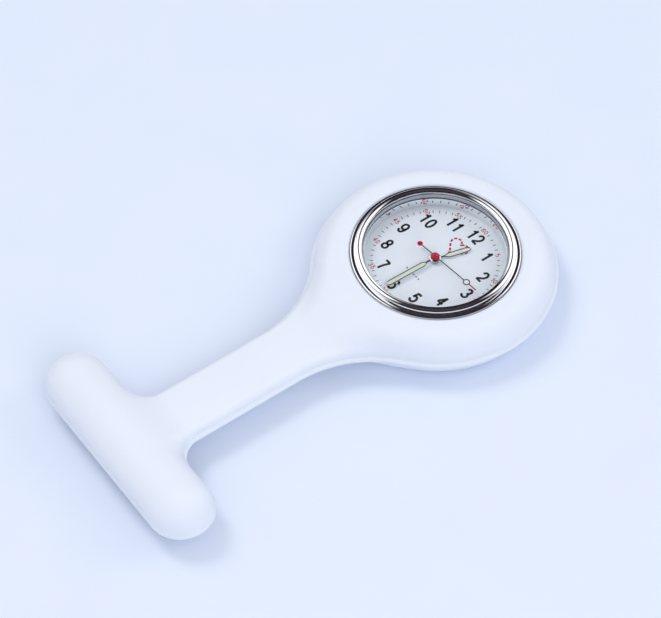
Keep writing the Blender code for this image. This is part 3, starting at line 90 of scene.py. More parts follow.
# %% One way to make a piece
def make_piece(name, points, faces, finish, body, sharp=40.0):
    """A smooth-shaded mesh object from points in millimetres. Doubled points at poles are merged."""
    data = bpy.data.meshes.new(name)
    faces = faces.tolist() if isinstance(faces, np.ndarray) else faces
    data.from_pydata((np.asarray(points) * MM).tolist(), [], faces)
    piece = bpy.data.objects.new(name, data)
    bpy.context.scene.collection.objects.link(piece)
    shell = bmesh.new()
    shell.from_mesh(data)
    bmesh.ops.remove_doubles(shell, verts=shell.verts, dist=1e-7)
    bmesh.ops.recalc_face_normals(shell, faces=shell.faces)
    shell.to_mesh(data)
    shell.free()
    data.shade_smooth()
    data.set_sharp_from_angle(angle=math.radians(sharp))
    data.materials.append(finish)
    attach(piece, body)
    print(f"{name}: {len(data.vertices)} points")
    return piece


def to_head(points):
    """From millimetres round the dial's axis to millimetres in the frame."""
    return np.asarray(points) + [0, HEAD_Y, 0]


print("the dial's axis is at", to_head([0, 0, 0]), "mm")

# %% [markdown]
# Most shapes are a grid of points, whose faces are quads between neighbouring rows and columns. A piece from
# a lathe is such a grid: its rows are the points of a profile, and its columns go once round the axis.


# %% Grids and turned shapes
def grid_faces(rows, columns, wrap_rows=False, wrap_columns=True):
    """Quads between neighbouring rows and columns. A wrapped side joins its last line to its first."""
    index = np.arange(rows * columns).reshape(rows, columns)
    if wrap_rows:
        index = np.vstack([index, index[:1]])
    if wrap_columns:
        index = np.hstack([index, index[:, :1]])
    corners = index[:-1, :-1], index[:-1, 1:], index[1:, 1:], index[1:, :-1]
    return np.stack([corner.ravel() for corner in corners], axis=1)


def turn(profile, steps=192):
    """Each profile point (radius, height) goes round the axis: x = radius cos a, y = radius sin a.

    A profile that starts and ends on the axis closes itself. Any other is joined from its end to its start.
    """
    profile = np.asarray(profile, float)
    angles = np.linspace(0, 2 * np.pi, steps, endpoint=False)
    x = np.outer(profile[:, 0], np.cos(angles))
    y = np.outer(profile[:, 0], np.sin(angles))
    z = np.outer(profile[:, 1], np.ones(steps))
    touches_axis = profile[0, 0] == 0 and profile[-1, 0] == 0
    points = np.stack([x, y, z], axis=-1).reshape(-1, 3)
    return points, grid_faces(len(profile), steps, wrap_rows=not touches_axis)


print("a square turned in 12 steps has", len(turn([(1, 0), (2, 0), (2, 1), (1, 1)], 12)[1]), "quads")

# %% [markdown]
# No real edge is perfectly sharp. A worked metal or moulded edge has a small radius that catches a line of
# light, and it is what makes a render look solid. A Bevel modifier could do it, but the profile is already
# at hand, so its corners are rounded before it is turned.


# %% Rounded corners
def rounded(profile, reach=0.08, steps=4):
    """Each corner becomes a small quadratic curve that starts and ends `reach` from it.

    With t from 0 to 1, a curve point is (1 - t) squared times its start, plus 2 t (1 - t) times the corner,
    plus t squared times its end. A holding point lies just beyond each end, so that the flat between two
    corners is shaded flat right up to its edges.
    """
    hold = 1.2
    profile = np.asarray(profile, float)
    rounded_points = []
    count = len(profile)
    open_ended = profile[0, 0] == 0 and profile[-1, 0] == 0
    for i, corner in enumerate(profile):
        if open_ended and i in (0, count - 1):
            rounded_points.append(corner)
            continue
        before, after = profile[i - 1], profile[(i + 1) % count]
        to_before, to_after = before - corner, after - corner
        near = min(reach, 0.4 * np.linalg.norm(to_before))
        far = min(reach, 0.4 * np.linalg.norm(to_after))
        start = corner + to_before / np.linalg.norm(to_before) * near
        end = corner + to_after / np.linalg.norm(to_after) * far
        rounded_points.append(corner + to_before / np.linalg.norm(to_before) * near * hold)
        for t in np.linspace(0, 1, steps + 1):
            rounded_points.append((1 - t) ** 2 * start + 2 * t * (1 - t) * corner + t**2 * end)
        rounded_points.append(corner + to_after / np.linalg.norm(to_after) * far * hold)
    return np.array(rounded_points)


print("a rounded square has", len(rounded([(1, 0), (2, 0), (2, 1), (1, 1)])), "points")

# %% [markdown]
# ## The camera
#
# The watch is seen from above its 4 o'clock side, with a long lens from arm's length, so that the bar lies
# at the lower left and the dial at the upper right.

# %% Camera
AZIMUTH, ELEVATION, DISTANCE = 53.44, 52.29, 418.4
LENS, ROLL = 138.25, 0.4
LOOK_AT = np.array([-6.01, -16.81 + HEAD_Y, 0.0])
azimuth, elevation = math.radians(AZIMUTH), math.radians(ELEVATION)
back = np.array(
    [
        math.sin(azimuth) * math.cos(elevation),
        -math.cos(azimuth) * math.cos(elevation),
        math.sin(elevation),
    ]
)
camera_data = bpy.data.cameras.new("camera")
camera_data.sensor_width = 36.0
camera_data.lens = LENS
camera_data.clip_start = 0.01
camera_data.clip_end = 20.0
camera = bpy.data.objects.new("camera", camera_data)
camera.rotation_mode = "QUATERNION"
camera.location = Vector((LOOK_AT + back * DISTANCE) * MM)
roll = Matrix.Rotation(math.radians(ROLL), 3, "Z").to_quaternion()
camera.rotation_quaternion = (-Vector(back)).to_track_quat("-Z", "Y") @ roll
bpy.context.scene.collection.objects.link(camera)
bpy.context.scene.camera = camera
print(f"camera at {tuple(round(c, 4) for c in camera.location)} m")

# %% [markdown]
# ## Light
#
# A small white thing shows its form best in soft light on pale paper. A soft lamp stands at the upper left.
# A weaker one at the right and a wide card in front fill the shadows. All are kept out of reflections,
# because the metal gets its own surroundings further on.


# %% Lamps
def make_lamp(name, place, size, power, colour):
    """A round soft lamp at a place in millimetres round the watch, facing its middle, unseen in mirrors."""
    data = bpy.data.lights.new(name, "AREA")
    data.shape = "DISK"
    data.size = size * MM
    data.energy = power
    data.color = colour
    lamp = bpy.data.objects.new(name, data)
    lamp.location = Vector(place) * MM
    lamp.rotation_mode = "QUATERNION"
    lamp.rotation_quaternion = (Vector((0, 0, 0)) - lamp.location).to_track_quat("-Z", "Y")
    lamp.visible_glossy = False
    bpy.context.scene.collection.objects.link(lamp)


WARM, COOL = (1.0, 0.985, 0.97), (0.95, 0.97, 1.0)
right = np.array([math.cos(azimuth), math.sin(azimuth), 0.0])
away = np.array([-math.sin(azimuth), math.cos(azimuth), 0.0])
up = np.array([0.0, 0.0, 1.0])
make_lamp("key_lamp", -360 * right + 250 * away + 690 * up, 330, 1.5, WARM)
make_lamp("fill_lamp", 560 * right + 120 * away + 420 * up, 300, 0.5, COOL)
make_lamp("front_card", 180 * right - 520 * away + 430 * up, 520, 1.5, COOL)

# %% [markdown]
# The sky round the watch is a node tree too. Its colours depend only on direction: a ramp over the height
# gives a pale sky, and the cosine of the angle to a chosen direction gives a soft box there.


# %% Nodes that read a direction
def link(tree, source, target):
    tree.links.new(source, target)


def steps_of(tree, value, stops):
    """A colour ramp over a value, from (position, colour) stops."""
    ramp = tree.nodes.new("ShaderNodeValToRGB")
    ramp.color_ramp.elements[0].position = stops[0][0]
    ramp.color_ramp.elements[0].color = (*stops[0][1], 1)
    ramp.color_ramp.elements[1].position = stops[-1][0]
    ramp.color_ramp.elements[1].color = (*stops[-1][1], 1)
    for position, colour in stops[1:-1]:
        ramp.color_ramp.elements.new(position).color = (*colour, 1)
    link(tree, value, ramp.inputs["Fac"])
    return ramp.outputs["Color"]


def towards(tree, direction, aim):
    """How nearly a direction points at an aim: the cosine of the angle between them."""
    dot = tree.nodes.new("ShaderNodeVectorMath")
    dot.operation = "DOT_PRODUCT"
    link(tree, direction, dot.inputs[0])
    dot.inputs[1].default_value = aim / np.linalg.norm(aim)
    return dot.outputs["Value"]


def mixed(tree, first, second, mode, share):
    """Two colours put together: a share of the second is added to the first, or replaces it."""
    mix = tree.nodes.new("ShaderNodeMix")
    mix.data_type = "RGBA"
    mix.blend_type = mode
    if isinstance(share, float):
        mix.inputs["Factor"].default_value = share
    else:
        link(tree, share, mix.inputs["Factor"])
    link(tree, first, mix.inputs["A"])
    link(tree, second, mix.inputs["B"])
    return mix.outputs["Result"]


world = bpy.data.worlds.new("pale_studio")
world.use_nodes = True
bpy.context.scene.world = world
tree = world.node_tree
direction = tree.nodes.new("ShaderNodeTexCoord").outputs["Generated"]
sky_height = towards(tree, direction, up)
sky_colours = [
    (0.0, (0.5, 0.53, 0.62)),
    (0.04, (0.3, 0.32, 0.36)),
    (0.2, (0.5, 0.53, 0.6)),
    (0.35, (0.85, 0.9, 1.0)),
    (0.85, (0.95, 0.97, 1.0)),
    (1.0, (0.8, 0.83, 0.9)),
]
sky = steps_of(tree, sky_height, sky_colours)
print(len(sky_colours), "colours from the horizon to the top of the sky")

# %% [markdown]
# Polished metal only looks like metal if it has something dark to reflect. So a ray that comes from a mirror
# sees a dark room instead of the pale sky, with a bright soft box on the left and another on the right. The
# Light Path node says which kind of ray is asking.

# %% What mirrors see
BLACK, BOX_WHITE = (0, 0, 0), (2, 2, 2)


def soft_box(aim, edge, full):
    """White round an aim, black from the cosine `edge` outwards, full from the cosine `full` inwards."""
    stops = [(0.0, BLACK), (edge, BLACK), (full, BOX_WHITE), (1.0, BOX_WHITE)]
    return steps_of(tree, towards(tree, direction, aim), stops)


left_box = soft_box(-0.75 * right + 0.35 * away + 0.56 * up, 0.74, 0.82)
right_box = soft_box(0.68 * right + 0.55 * away + 0.48 * up, 0.78, 0.86)
room_colours = [
    (0.0, (0.4, 0.42, 0.48)),
    (0.12, (0.04, 0.04, 0.045)),
    (0.6, (0.012, 0.01, 0.014)),
    (0.85, (0.06, 0.04, 0.05)),
    (1.0, (0.09, 0.08, 0.1)),
]
dark_room = steps_of(tree, sky_height, room_colours)
boxes = mixed(tree, left_box, right_box, "ADD", 1.0)
reflected = mixed(tree, dark_room, boxes, "ADD", 1.0)
rays = tree.nodes.new("ShaderNodeLightPath")
background = tree.nodes["Background"]
seen = mixed(tree, sky, reflected, "MIX", rays.outputs["Is Glossy Ray"])
link(tree, seen, background.inputs["Color"])
background.inputs["Strength"].default_value = 0.7
bpy.context.scene.view_settings.view_transform = "Standard"
print(len(tree.nodes), "nodes in the sky")

# %% [markdown]
# ## Finishes
#
# Every finish is a small node tree on the shader, driven by Object coordinates, so that it stays fixed to
# the piece. Fine noise moves the colour, the roughness and the bump by a few per cent, which is what keeps
# moulded silicone, brushed steel and lacquer from looking computed.


# %% Building blocks of a finish
def start_finish(name, colour, roughness, metallic=0.0):
    """A Principled shader with its plain values."""
    made = bpy.data.materials.new(name)
    made.use_nodes = True
    shader = made.node_tree.nodes["Principled BSDF"]
    shader.inputs["Base Color"].default_value = (*colour, 1.0)
    shader.inputs["Roughness"].default_value = roughness
    shader.inputs["Metallic"].default_value = metallic
    return made, made.node_tree, shader


def noise(tree, scale, detail=3.0, stretch=(1, 1, 1)):
    """Noise on Object coordinates, in features per metre, stretched along an axis if asked."""
    place = tree.nodes.new("ShaderNodeTexCoord")
    mapping = tree.nodes.new("ShaderNodeMapping")
    texture = tree.nodes.new("ShaderNodeTexNoise")
    mapping.inputs["Scale"].default_value = stretch
    texture.inputs["Scale"].default_value = scale
    texture.inputs["Detail"].default_value = detail
    link(tree, place.outputs["Object"], mapping.inputs["Vector"])
    link(tree, mapping.outputs["Vector"], texture.inputs["Vector"])
    return texture.outputs["Fac"]


NOISE_LOW, NOISE_HIGH = 0.3, 0.7  # most of a noise's values lie between these


def spread(tree, value, low, high):
    """Maps the usual range of a noise to a range from low to high."""
    mapped = tree.nodes.new("ShaderNodeMapRange")
    mapped.inputs["From Min"].default_value = NOISE_LOW
    mapped.inputs["From Max"].default_value = NOISE_HIGH
    mapped.inputs["To Min"].default_value = low
    mapped.inputs["To Max"].default_value = high
    link(tree, value, mapped.inputs["Value"])
    return mapped.outputs["Result"]


def tint(tree, value, first, second):
    """A colour between two, chosen by the usual range of a noise."""
    ramp = tree.nodes.new("ShaderNodeValToRGB")
    ramp.color_ramp.elements[0].position = NOISE_LOW
    ramp.color_ramp.elements[1].position = NOISE_HIGH
    ramp.color_ramp.elements[0].color = (*first, 1)
    ramp.color_ramp.elements[1].color = (*second, 1)
    link(tree, value, ramp.inputs["Fac"])
    return ramp.outputs["Color"]


def bump(tree, shader, value, strength, distance):
    """Raises the surface by a value, in metres of distance."""
    raised = tree.nodes.new("ShaderNodeBump")
    raised.inputs["Strength"].default_value = strength
    raised.inputs["Distance"].default_value = distance
    link(tree, value, raised.inputs["Height"])
    link(tree, raised.outputs["Normal"], shader.inputs["Normal"])


print("noise is read between", NOISE_LOW, "and", NOISE_HIGH)

# %% [markdown]
# The silicone is soft, white and matt, with a trace of blue. Light goes a little way into it, which the
# Principled shader calls subsurface, and its skin has the fine tooth of a blasted mould.

# %% White silicone
silicone, tree, shader = start_finish("white_silicone", (0.81, 0.85, 0.945), 0.5)
shader.inputs["Subsurface Weight"].default_value = 0.25
shader.inputs["Subsurface Radius"].default_value = (1.0, 0.95, 0.9)
shader.inputs["Subsurface Scale"].default_value = 0.0012
shader.inputs["Specular IOR Level"].default_value = 0.35
cloud = noise(tree, 60, 2.0)
matt = noise(tree, 5200, 2.0)
link(tree, tint(tree, cloud, (0.8, 0.84, 0.935), (0.82, 0.86, 0.95)), shader.inputs["Base Color"])
link(tree, spread(tree, matt, 0.44, 0.56), shader.inputs["Roughness"])
bump(tree, shader, matt, 0.25, 0.000012)
print(silicone.name, "has", len(tree.nodes), "nodes")

# %% [markdown]
# The other finishes share one recipe: two close colours, a range of roughness and a faint bump over a single
# noise. Stretching the noise turns it into the lines of brushed steel or of wound wire. One row of numbers
# then makes a metal, a plastic, an ink or a lacquer.

# %% Metals, plastics, inks and lacquers
GRAIN_BUMP = 0.00001


def grained_finish(name, first, second, roughness, metallic, scale, stretch=(1, 1, 1), depth=0.3):
    """Two close colours and a range of roughness over one noise, with the same noise as a faint bump."""
    made, tree, shader = start_finish(name, first, sum(roughness) / 2, metallic)
    grain = noise(tree, scale, 4.0, stretch)
    link(tree, tint(tree, grain, first, second), shader.inputs["Base Color"])
    link(tree, spread(tree, grain, *roughness), shader.inputs["Roughness"])
    bump(tree, shader, grain, depth, GRAIN_BUMP)
    return made


def metal(name, first, second, roughness, scale, stretch=(1, 1, 1), depth=0.3):
    return grained_finish(name, first, second, roughness, 1.0, scale, stretch, depth)


def coat(name, first, second, roughness, scale, depth=0.3):
    return grained_finish(name, first, second, roughness, 0.0, scale, depth=depth)


polished = metal("polished_steel", (0.86, 0.86, 0.88), (0.8, 0.81, 0.84), (0.03, 0.07), 900, depth=0.02)
brushed = metal(
    "brushed_steel", (0.66, 0.67, 0.69), (0.55, 0.56, 0.58), (0.22, 0.4), 2500, (1, 0.06, 1), 0.4
)
brass = metal("brass", (0.82, 0.64, 0.33), (0.72, 0.54, 0.25), (0.2, 0.34), 3000, depth=0.2)
copper = metal("copper_wire", (0.76, 0.36, 0.2), (0.6, 0.25, 0.13), (0.2, 0.36), 6000, (6, 1, 1), 0.8)
plastic = coat("holder_plastic", (0.82, 0.82, 0.79), (0.74, 0.74, 0.71), (0.4, 0.55), 2500)
wheel_plastic = coat("wheel_plastic", (0.74, 0.73, 0.66), (0.68, 0.67, 0.6), (0.25, 0.4), 3500)
dark_plastic = coat("black_plastic", (0.025, 0.025, 0.03), (0.04, 0.04, 0.045), (0.35, 0.5), 3500)
rubber = coat("grey_rubber", (0.4, 0.43, 0.48), (0.47, 0.5, 0.55), (0.5, 0.65), 3000)
board = coat("circuit_green", (0.03, 0.2, 0.1), (0.05, 0.27, 0.14), (0.3, 0.45), 2200)
dial_paint = coat("dial_paint", (0.88, 0.93, 0.985), (0.91, 0.95, 0.99), (0.38, 0.5), 350, 0.05)
print_black = coat("print_black", (0.012, 0.012, 0.014), (0.02, 0.02, 0.024), (0.4, 0.55), 5000)
print_red = coat("print_red", (0.52, 0.015, 0.04), (0.6, 0.03, 0.06), (0.4, 0.55), 5000)
red_lacquer = coat("red_lacquer", (0.5, 0.012, 0.03), (0.58, 0.02, 0.05), (0.12, 0.22), 2500)
dark_lacquer = coat("dark_lacquer", (0.07, 0.02, 0.03), (0.1, 0.03, 0.04), (0.15, 0.3), 2500)
lume = coat("pale_lume", (0.72, 0.78, 0.62), (0.8, 0.84, 0.7), (0.5, 0.7), 4000, 0.4)
print(len(bpy.data.materials), "finishes")

# %% [markdown]
# Clear glass is mostly a mirror at glancing angles and nothing at all when looked through squarely. A mix
# of a see-through shader and a gloss shader, weighed by Fresnel's law, gives that without bending the light
# away from the dial below. The Fresnel node inverts the index at a face that is seen from behind, which
# would make a full mirror of it at a slant. So such a face gets the inverse, and both sides act alike.

# %% Glass
GLASS_INDEX = 1.5
glass = bpy.data.materials.new("mineral_glass")
glass.use_nodes = True
tree = glass.node_tree
tree.nodes.remove(tree.nodes["Principled BSDF"])
clear = tree.nodes.new("ShaderNodeBsdfTransparent")
clear.inputs["Color"].default_value = (0.99, 0.995, 1.0, 1)
gloss = tree.nodes.new("ShaderNodeBsdfGlossy")
gloss.inputs["Roughness"].default_value = 0.02
facing = tree.nodes.new("ShaderNodeFresnel")
side_seen = tree.nodes.new("ShaderNodeNewGeometry")
index_seen = tree.nodes.new("ShaderNodeMapRange")
index_seen.inputs["To Min"].default_value = GLASS_INDEX
index_seen.inputs["To Max"].default_value = 1 / GLASS_INDEX
link(tree, side_seen.outputs["Backfacing"], index_seen.inputs["Value"])
link(tree, index_seen.outputs["Result"], facing.inputs["IOR"])
weigh = tree.nodes.new("ShaderNodeMixShader")
link(tree, facing.outputs["Fac"], weigh.inputs["Fac"])
link(tree, clear.outputs["BSDF"], weigh.inputs[1])
link(tree, gloss.outputs["BSDF"], weigh.inputs[2])
link(tree, weigh.outputs["Shader"], tree.nodes["Material Output"].inputs["Surface"])
print(glass.name, "has", len(tree.nodes), "nodes")

# %% [markdown]
# The table is a wide sheet of pale blue paper. It belongs to the stage and not to the watch, so it rides on
# nothing and is left out of the model.

# %% The paper table
TABLE_HALF, TABLE_LINES = 1500, 31
paper = coat("pale_paper", (0.76, 0.82, 0.95), (0.78, 0.835, 0.955), (0.8, 0.95), 60, 0.05)
side = np.linspace(-TABLE_HALF, TABLE_HALF, TABLE_LINES)
grid_x, grid_y = np.meshgrid(side, side)
table_points = np.column_stack([grid_x.ravel(), grid_y.ravel(), np.zeros(grid_x.size)])
table_faces = grid_faces(TABLE_LINES, TABLE_LINES, wrap_columns=False)
table_data = bpy.data.meshes.new("table")
table_data.from_pydata((table_points * MM).tolist(), [], table_faces.tolist())
table_data.materials.append(paper)
table = bpy.data.objects.new("table", table_data)
bpy.context.scene.collection.objects.link(table)
print("table:", len(table_faces), "quads")

# %% [markdown]
# ## The silicone cover
#
# The real cover is one soft moulding: a domed ring for the head, a flat strap and a round-topped bar, with
# every inside corner melted together and a thin rim where the two halves of the mould met. Modelled piece
# by piece, its fillets would be hard to close. So it is written as one function of space, which is negative
# inside the silicone, zero on its surface and positive outside. Two such functions can be joined or cut
# with a rounding of a chosen radius.


# %% Joining and cutting solids
def filleted(a, b, radius):
    """Joins two solids. Where both are nearer than the radius, the surface is a circular fillet."""
    near_a = np.maximum(radius - a, 0)
    near_b = np.maximum(radius - b, 0)
    return np.maximum(radius, np.minimum(a, b)) - np.hypot(near_a, near_b)


def carved(a, b, radius):
    """Keeps what is inside both solids, with a rounded edge where their surfaces meet."""
    near_a = np.maximum(radius + a, 0)
    near_b = np.maximum(radius + b, 0)
    return np.minimum(-radius, np.maximum(a, b)) + np.hypot(near_a, near_b)


def softly_joined(a, b, width):
    """The smaller of two values, with a soft change over a width where they are nearly equal."""
    near = np.maximum(width - np.abs(a - b), 0) / width
    return np.minimum(a, b) - near * near * width / 4


def ease(t):
    """Goes smoothly from 0 to 1 while t goes from 0 to 1: t squared times (3 - 2 t)."""
    t = np.clip(t, 0, 1)
    return t * t * (3 - 2 * t)


print("a fillet of 4 adds", round(float(-filleted(0.0, 0.0, 4.0)), 2), "mm in the corner")

# %% [markdown]
# Head and strap share one outline in plan. The strap widens into the head along a circle that just touches
# the head's circle, and where that touching circle has its centre follows from the two radii and the
# strap's width. Body and rim are both measured from this one outline, so the ledge between them is equally
# wide all along head and strap.

# %% Outline of head and strap
STRAP_HALF = 5.44  # half the strap's width at its rim
FLARE_RADIUS = 20.0
FLARE_X = STRAP_HALF + FLARE_RADIUS
FLARE_START = math.sqrt((HEAD_RADIUS + FLARE_RADIUS) ** 2 - FLARE_X**2)
TOUCH_Y = -FLARE_START * HEAD_RADIUS / (HEAD_RADIUS + FLARE_RADIUS)
LEAST_BLEND, BLEND_PER_DEPTH = 0.3, 1.5


def outline(x, y, ring, step):
    """How far a place is outside the outline, moved inwards by a step, or inside it if negative.

    The strap's distance is the flare's radius less the distance to the flare's centre. Head and strap are
    blended over a width that is small at the outline and grows with the depth inside it, so the outline
    keeps its line and the top has no crease.
    """
    flare = np.clip(y + FLARE_START, 0, FLARE_START + TOUCH_Y)
    strap = FLARE_RADIUS - np.hypot(FLARE_X - np.abs(x), flare) + step
    strap = np.maximum(np.maximum(strap, y), -y - BAR_BELOW_DIAL)
    head = ring - HEAD_RADIUS + step
    depth = np.maximum(-np.minimum(head, strap), 0)
    return softly_joined(head, strap, LEAST_BLEND + BLEND_PER_DEPTH * depth)


print(f"strap and head touch {-TOUCH_Y:.2f} mm below the dial's axis")

# %% [markdown]
# The section across that outline is different at the two ends. The head has a high round shoulder and a
# flank that curves in to a flat foot. The strap is flat with round edges. The bar stands on its own, as a
# long dome over a foot that leans inwards.

# %% Sections of head, strap and bar
RIM_LOW, RIM_HIGH = 4.0, 4.9  # the band where the two halves of the mould met
DOME_EDGE, DOME_Z = 4.0, 5.1  # radius of the head's shoulder and height of its centre
FLANK, FLANK_TOP = 3.03, 4.0  # how far the lower flank curves in, and from what height
STRAP_LOW, STRAP_HIGH, STRAP_ROUND, STRAP_CROWN = 3.95, 6.35, 0.95, 0.25
BAR_HALF, BAR_INSET = 14.5, 0.25  # half the bar's straight length, and its side behind the rim
BAR_SPRING, BAR_RISE, BAR_LEAN = 4.8, 4.65, 0.64  # where its dome starts, how high it rises, its flank
BAR_FOOT = 2.62


def head_profile(edge, z):
    """The head's section: a round upper edge, and a quarter ellipse from the flank to the flat foot."""
    upper = np.hypot(np.maximum(edge + DOME_EDGE, 0), np.maximum(z - DOME_Z, 0)) - DOME_EDGE
    across, down = np.maximum(edge + FLANK, 0) / FLANK, np.minimum(z - FLANK_TOP, 0) / FLANK_TOP
    return np.maximum(np.maximum(upper, (np.hypot(across, down) - 1) * FLANK), -z)


def strap_profile(x, edge, z):
    """The strap's section: flat, with round edges, and a little thicker along its middle."""
    middle, half = (STRAP_HIGH + STRAP_LOW) / 2, (STRAP_HIGH - STRAP_LOW) / 2
    crowned = z - middle + STRAP_CROWN * np.minimum((x / STRAP_HALF) ** 2, 1)
    height = np.maximum(np.abs(crowned) - half + STRAP_ROUND, 0)
    return np.hypot(np.maximum(edge + STRAP_ROUND, 0), height) - STRAP_ROUND


def bar_solid(across, z):
    """A bar with round ends: a half ellipse over its width, and a lower flank that leans inwards."""
    half = BAR_RADIUS - BAR_INSET
    upper = (np.hypot(across / half, np.maximum(z - BAR_SPRING, 0) / BAR_RISE) - 1) * BAR_RISE
    lean = across - half + BAR_LEAN * np.maximum(RIM_LOW - z, 0)
    return np.maximum(np.maximum(upper, lean), BAR_FOOT - z)


print(f"head {DOME_EDGE + DOME_Z:.1f} mm high, bar {BAR_SPRING + BAR_RISE:.2f} mm")

# %% [markdown]
# The cover also has rooms: a stepped seat for the case and the bezel, with an opening for the case back, a
# pocket for the crown, and a slot for the brooch. Each is a simple solid, and all are cut away at once.

# %% Rooms inside the cover
SEAT_STEPS = ((13.4, 1.0), (13.74, 7.3), (14.1, 8.5))  # radius of each step and height of its floor
BACK_OPENING = 11.3
CROWN_ROOM, CROWN_Z, CROWN_FROM, CROWN_TO = 1.8, 4.75, 12.0, 16.65
MOUTH_HALF, MOUTH_WIDE, MOUTH_TOP = 16.3, 1.7, 3.6  # the slot under the bar
POCKET_HALF, POCKET_WIDE, POCKET_Z, POCKET_DEEP = 17.1, 2.5, 3.37, 0.32  # where the plate's edge sits


def rooms(x, y, z, ring):
    """Negative inside any of the rooms."""
    seat = ring - BACK_OPENING
    for radius, floor in SEAT_STEPS:
        seat = np.minimum(seat, np.maximum(ring - radius, floor - z))
    crown = np.maximum(np.hypot(y, z - CROWN_Z) - CROWN_ROOM, np.maximum(CROWN_FROM - x, x - CROWN_TO))
    along, wide = np.abs(x), np.abs(y + BAR_BELOW_DIAL)
    mouth = np.maximum(np.maximum(along - MOUTH_HALF, wide - MOUTH_WIDE), z - MOUTH_TOP)
    pocket = np.maximum(along - POCKET_HALF, wide - POCKET_WIDE)
    pocket = np.maximum(pocket, np.abs(z - POCKET_Z) - POCKET_DEEP)
    return np.minimum(np.minimum(seat, crown), np.minimum(mouth, pocket))


print(f"the case back's opening is {2 * BACK_OPENING:.1f} mm wide")

# %% [markdown]
# Now everything comes together. The head's section fades into the strap's, the bar is joined with a wide
# fillet, and the rim stands out all round as a narrow ledge. The ledge faces up and catches the light,
# under a steeper and darker strip, and that thin double line is what tells the eye that this is a moulding.

# %% The cover as a function of space
RIM_STEP = 0.6  # how far the rim stands out from the head and the strap
RIM_INSET = 0.03  # the rim's distance inside the CAD box
RIM_ROUND, RIM_CREASE = 0.22, 0.08
BAR_BLEND = 4.0
FADE_END, FADE_LENGTH = 27.0, 10.0  # where the head's section has become the strap's
TOP_Z, BAR_TOP_Z, BAR_STARTS = 9.16, 9.5, -40.0
LIP_RADIUS, LIP_Z, LIP_ROUND = 14.12, 8.5, 0.4  # the soft edge round the bezel


def cover(x, y, z):
    """Negative inside the silicone. Distances are in millimetres round the dial's axis."""
    ring = np.hypot(x, y)
    across = np.hypot(np.maximum(np.abs(x) - BAR_HALF, 0), y + BAR_BELOW_DIAL)
    edge = outline(x, y, ring, RIM_STEP)
    near = ease((FADE_END - ring) / FADE_LENGTH)
    solid = near * head_profile(edge, z) + (1 - near) * strap_profile(x, edge, z)
    solid = filleted(solid, bar_solid(across, z), BAR_BLEND)
    near_bar = y < BAR_STARTS
    solid = np.maximum(solid, z - np.where(near_bar, BAR_TOP_Z, TOP_Z))
    solid = np.maximum(solid, np.where(near_bar, BAR_FOOT, 0) - z)
    plan = filleted(outline(x, y, ring, RIM_INSET), across - BAR_RADIUS + RIM_INSET, BAR_BLEND)
    rim_middle, rim_half = (RIM_LOW + RIM_HIGH) / 2, (RIM_HIGH - RIM_LOW) / 2
    rim = carved(plan, np.abs(z - rim_middle) - rim_half, RIM_ROUND)
    solid = filleted(solid, rim, RIM_CREASE)
    solid = carved(solid, np.minimum(LIP_RADIUS - ring, z - LIP_Z), LIP_ROUND)
    return np.maximum(solid, -rooms(x, y, z, ring))


print(f"in the strap's middle the function is {float(cover(0.0, -35.0, 5.0)):.2f}, so that is silicone")

# %% [markdown]
# To turn the function into a mesh, space is cut into small cubes. Each cube that the surface passes through
# gets one point, at the average of where the surface crosses the cube's edges, and each crossed edge gets a
# quad between the four cubes round it. Blender's Remesh modifier could make a similar skin from rough
# solids, but it would round off the rim.


# %% A mesh from a function
def points_in_cubes(values, active):
    """For each active cube, the mean place, in cubes, where the surface crosses the cube's edges."""
    cells = active.shape
    corners = [(i, j, k) for i in (0, 1) for j in (0, 1) for k in (0, 1)]

    def corner(array, offset):
        return array[tuple(slice(o, o + n) for o, n in zip(offset, cells))]

    total = np.zeros((active.sum(), 3))
    crossings = np.zeros(active.sum())
    for a in corners:
        for axis in range(3):
            if a[axis]:
                continue
            b = tuple(v + (n == axis) for n, v in enumerate(a))
            start, end = corner(values, a)[active], corner(values, b)[active]
            crossed = (start < 0) != (end < 0)
            share = np.where(crossed, start / np.where(crossed, start - end, 1), 0)
            spot = np.tile(np.array(a, float), (len(start), 1))
            spot[:, axis] = share
            total += spot * crossed[:, None]
            crossings += crossed
    return np.column_stack(np.nonzero(active)) + total / crossings[:, None]


def quads_round_edges(inside, index):
    """One quad for each cube edge whose two ends are on different sides of the surface."""
    quads = []
    for axis in range(3):
        u, v = [n for n in range(3) if n != axis]
        here = [slice(1, -1)] * 3
        here[axis] = slice(0, -1)
        ahead = [slice(1, -1)] * 3
        ahead[axis] = slice(1, None)
        spots = np.column_stack(np.nonzero(inside[tuple(here)] != inside[tuple(ahead)]))
        spots[:, u] += 1
        spots[:, v] += 1
        round_edge = []
        for du, dv in ((1, 1), (0, 1), (0, 0), (1, 0)):
            cell = spots.copy()
            cell[:, u] -= du
            cell[:, v] -= dv
            round_edge.append(index[tuple(cell.T)])
        quads.append(np.column_stack(round_edge))
    return np.vstack(quads)


def net_surface(function, low, high, step):
    """Points and quads of the surface where the function is zero, inside a box."""
    axes = [np.arange(a, b + step, step) for a, b in zip(low, high)]
    values = function(*np.meshgrid(*axes, indexing="ij", sparse=True))
    inside = values < 0
    cells = tuple(n - 1 for n in values.shape)
    count = np.zeros(cells, np.int8)
    for i, j, k in np.ndindex(2, 2, 2):
        count += inside[i : i + cells[0], j : j + cells[1], k : k + cells[2]]
    active = (count > 0) & (count < 8)
    index = np.full(cells, -1)
    index[active] = np.arange(active.sum())
    places = points_in_cubes(values, active)
    return np.array([axis[0] for axis in axes]) + places * step, quads_round_edges(inside, index)


def ball(x, y, z):
    return np.sqrt(x * x + y * y + z * z) - 1


print("a ball cut into cubes has", len(net_surface(ball, [-1.2] * 3, [1.2] * 3, 0.2)[1]), "quads")

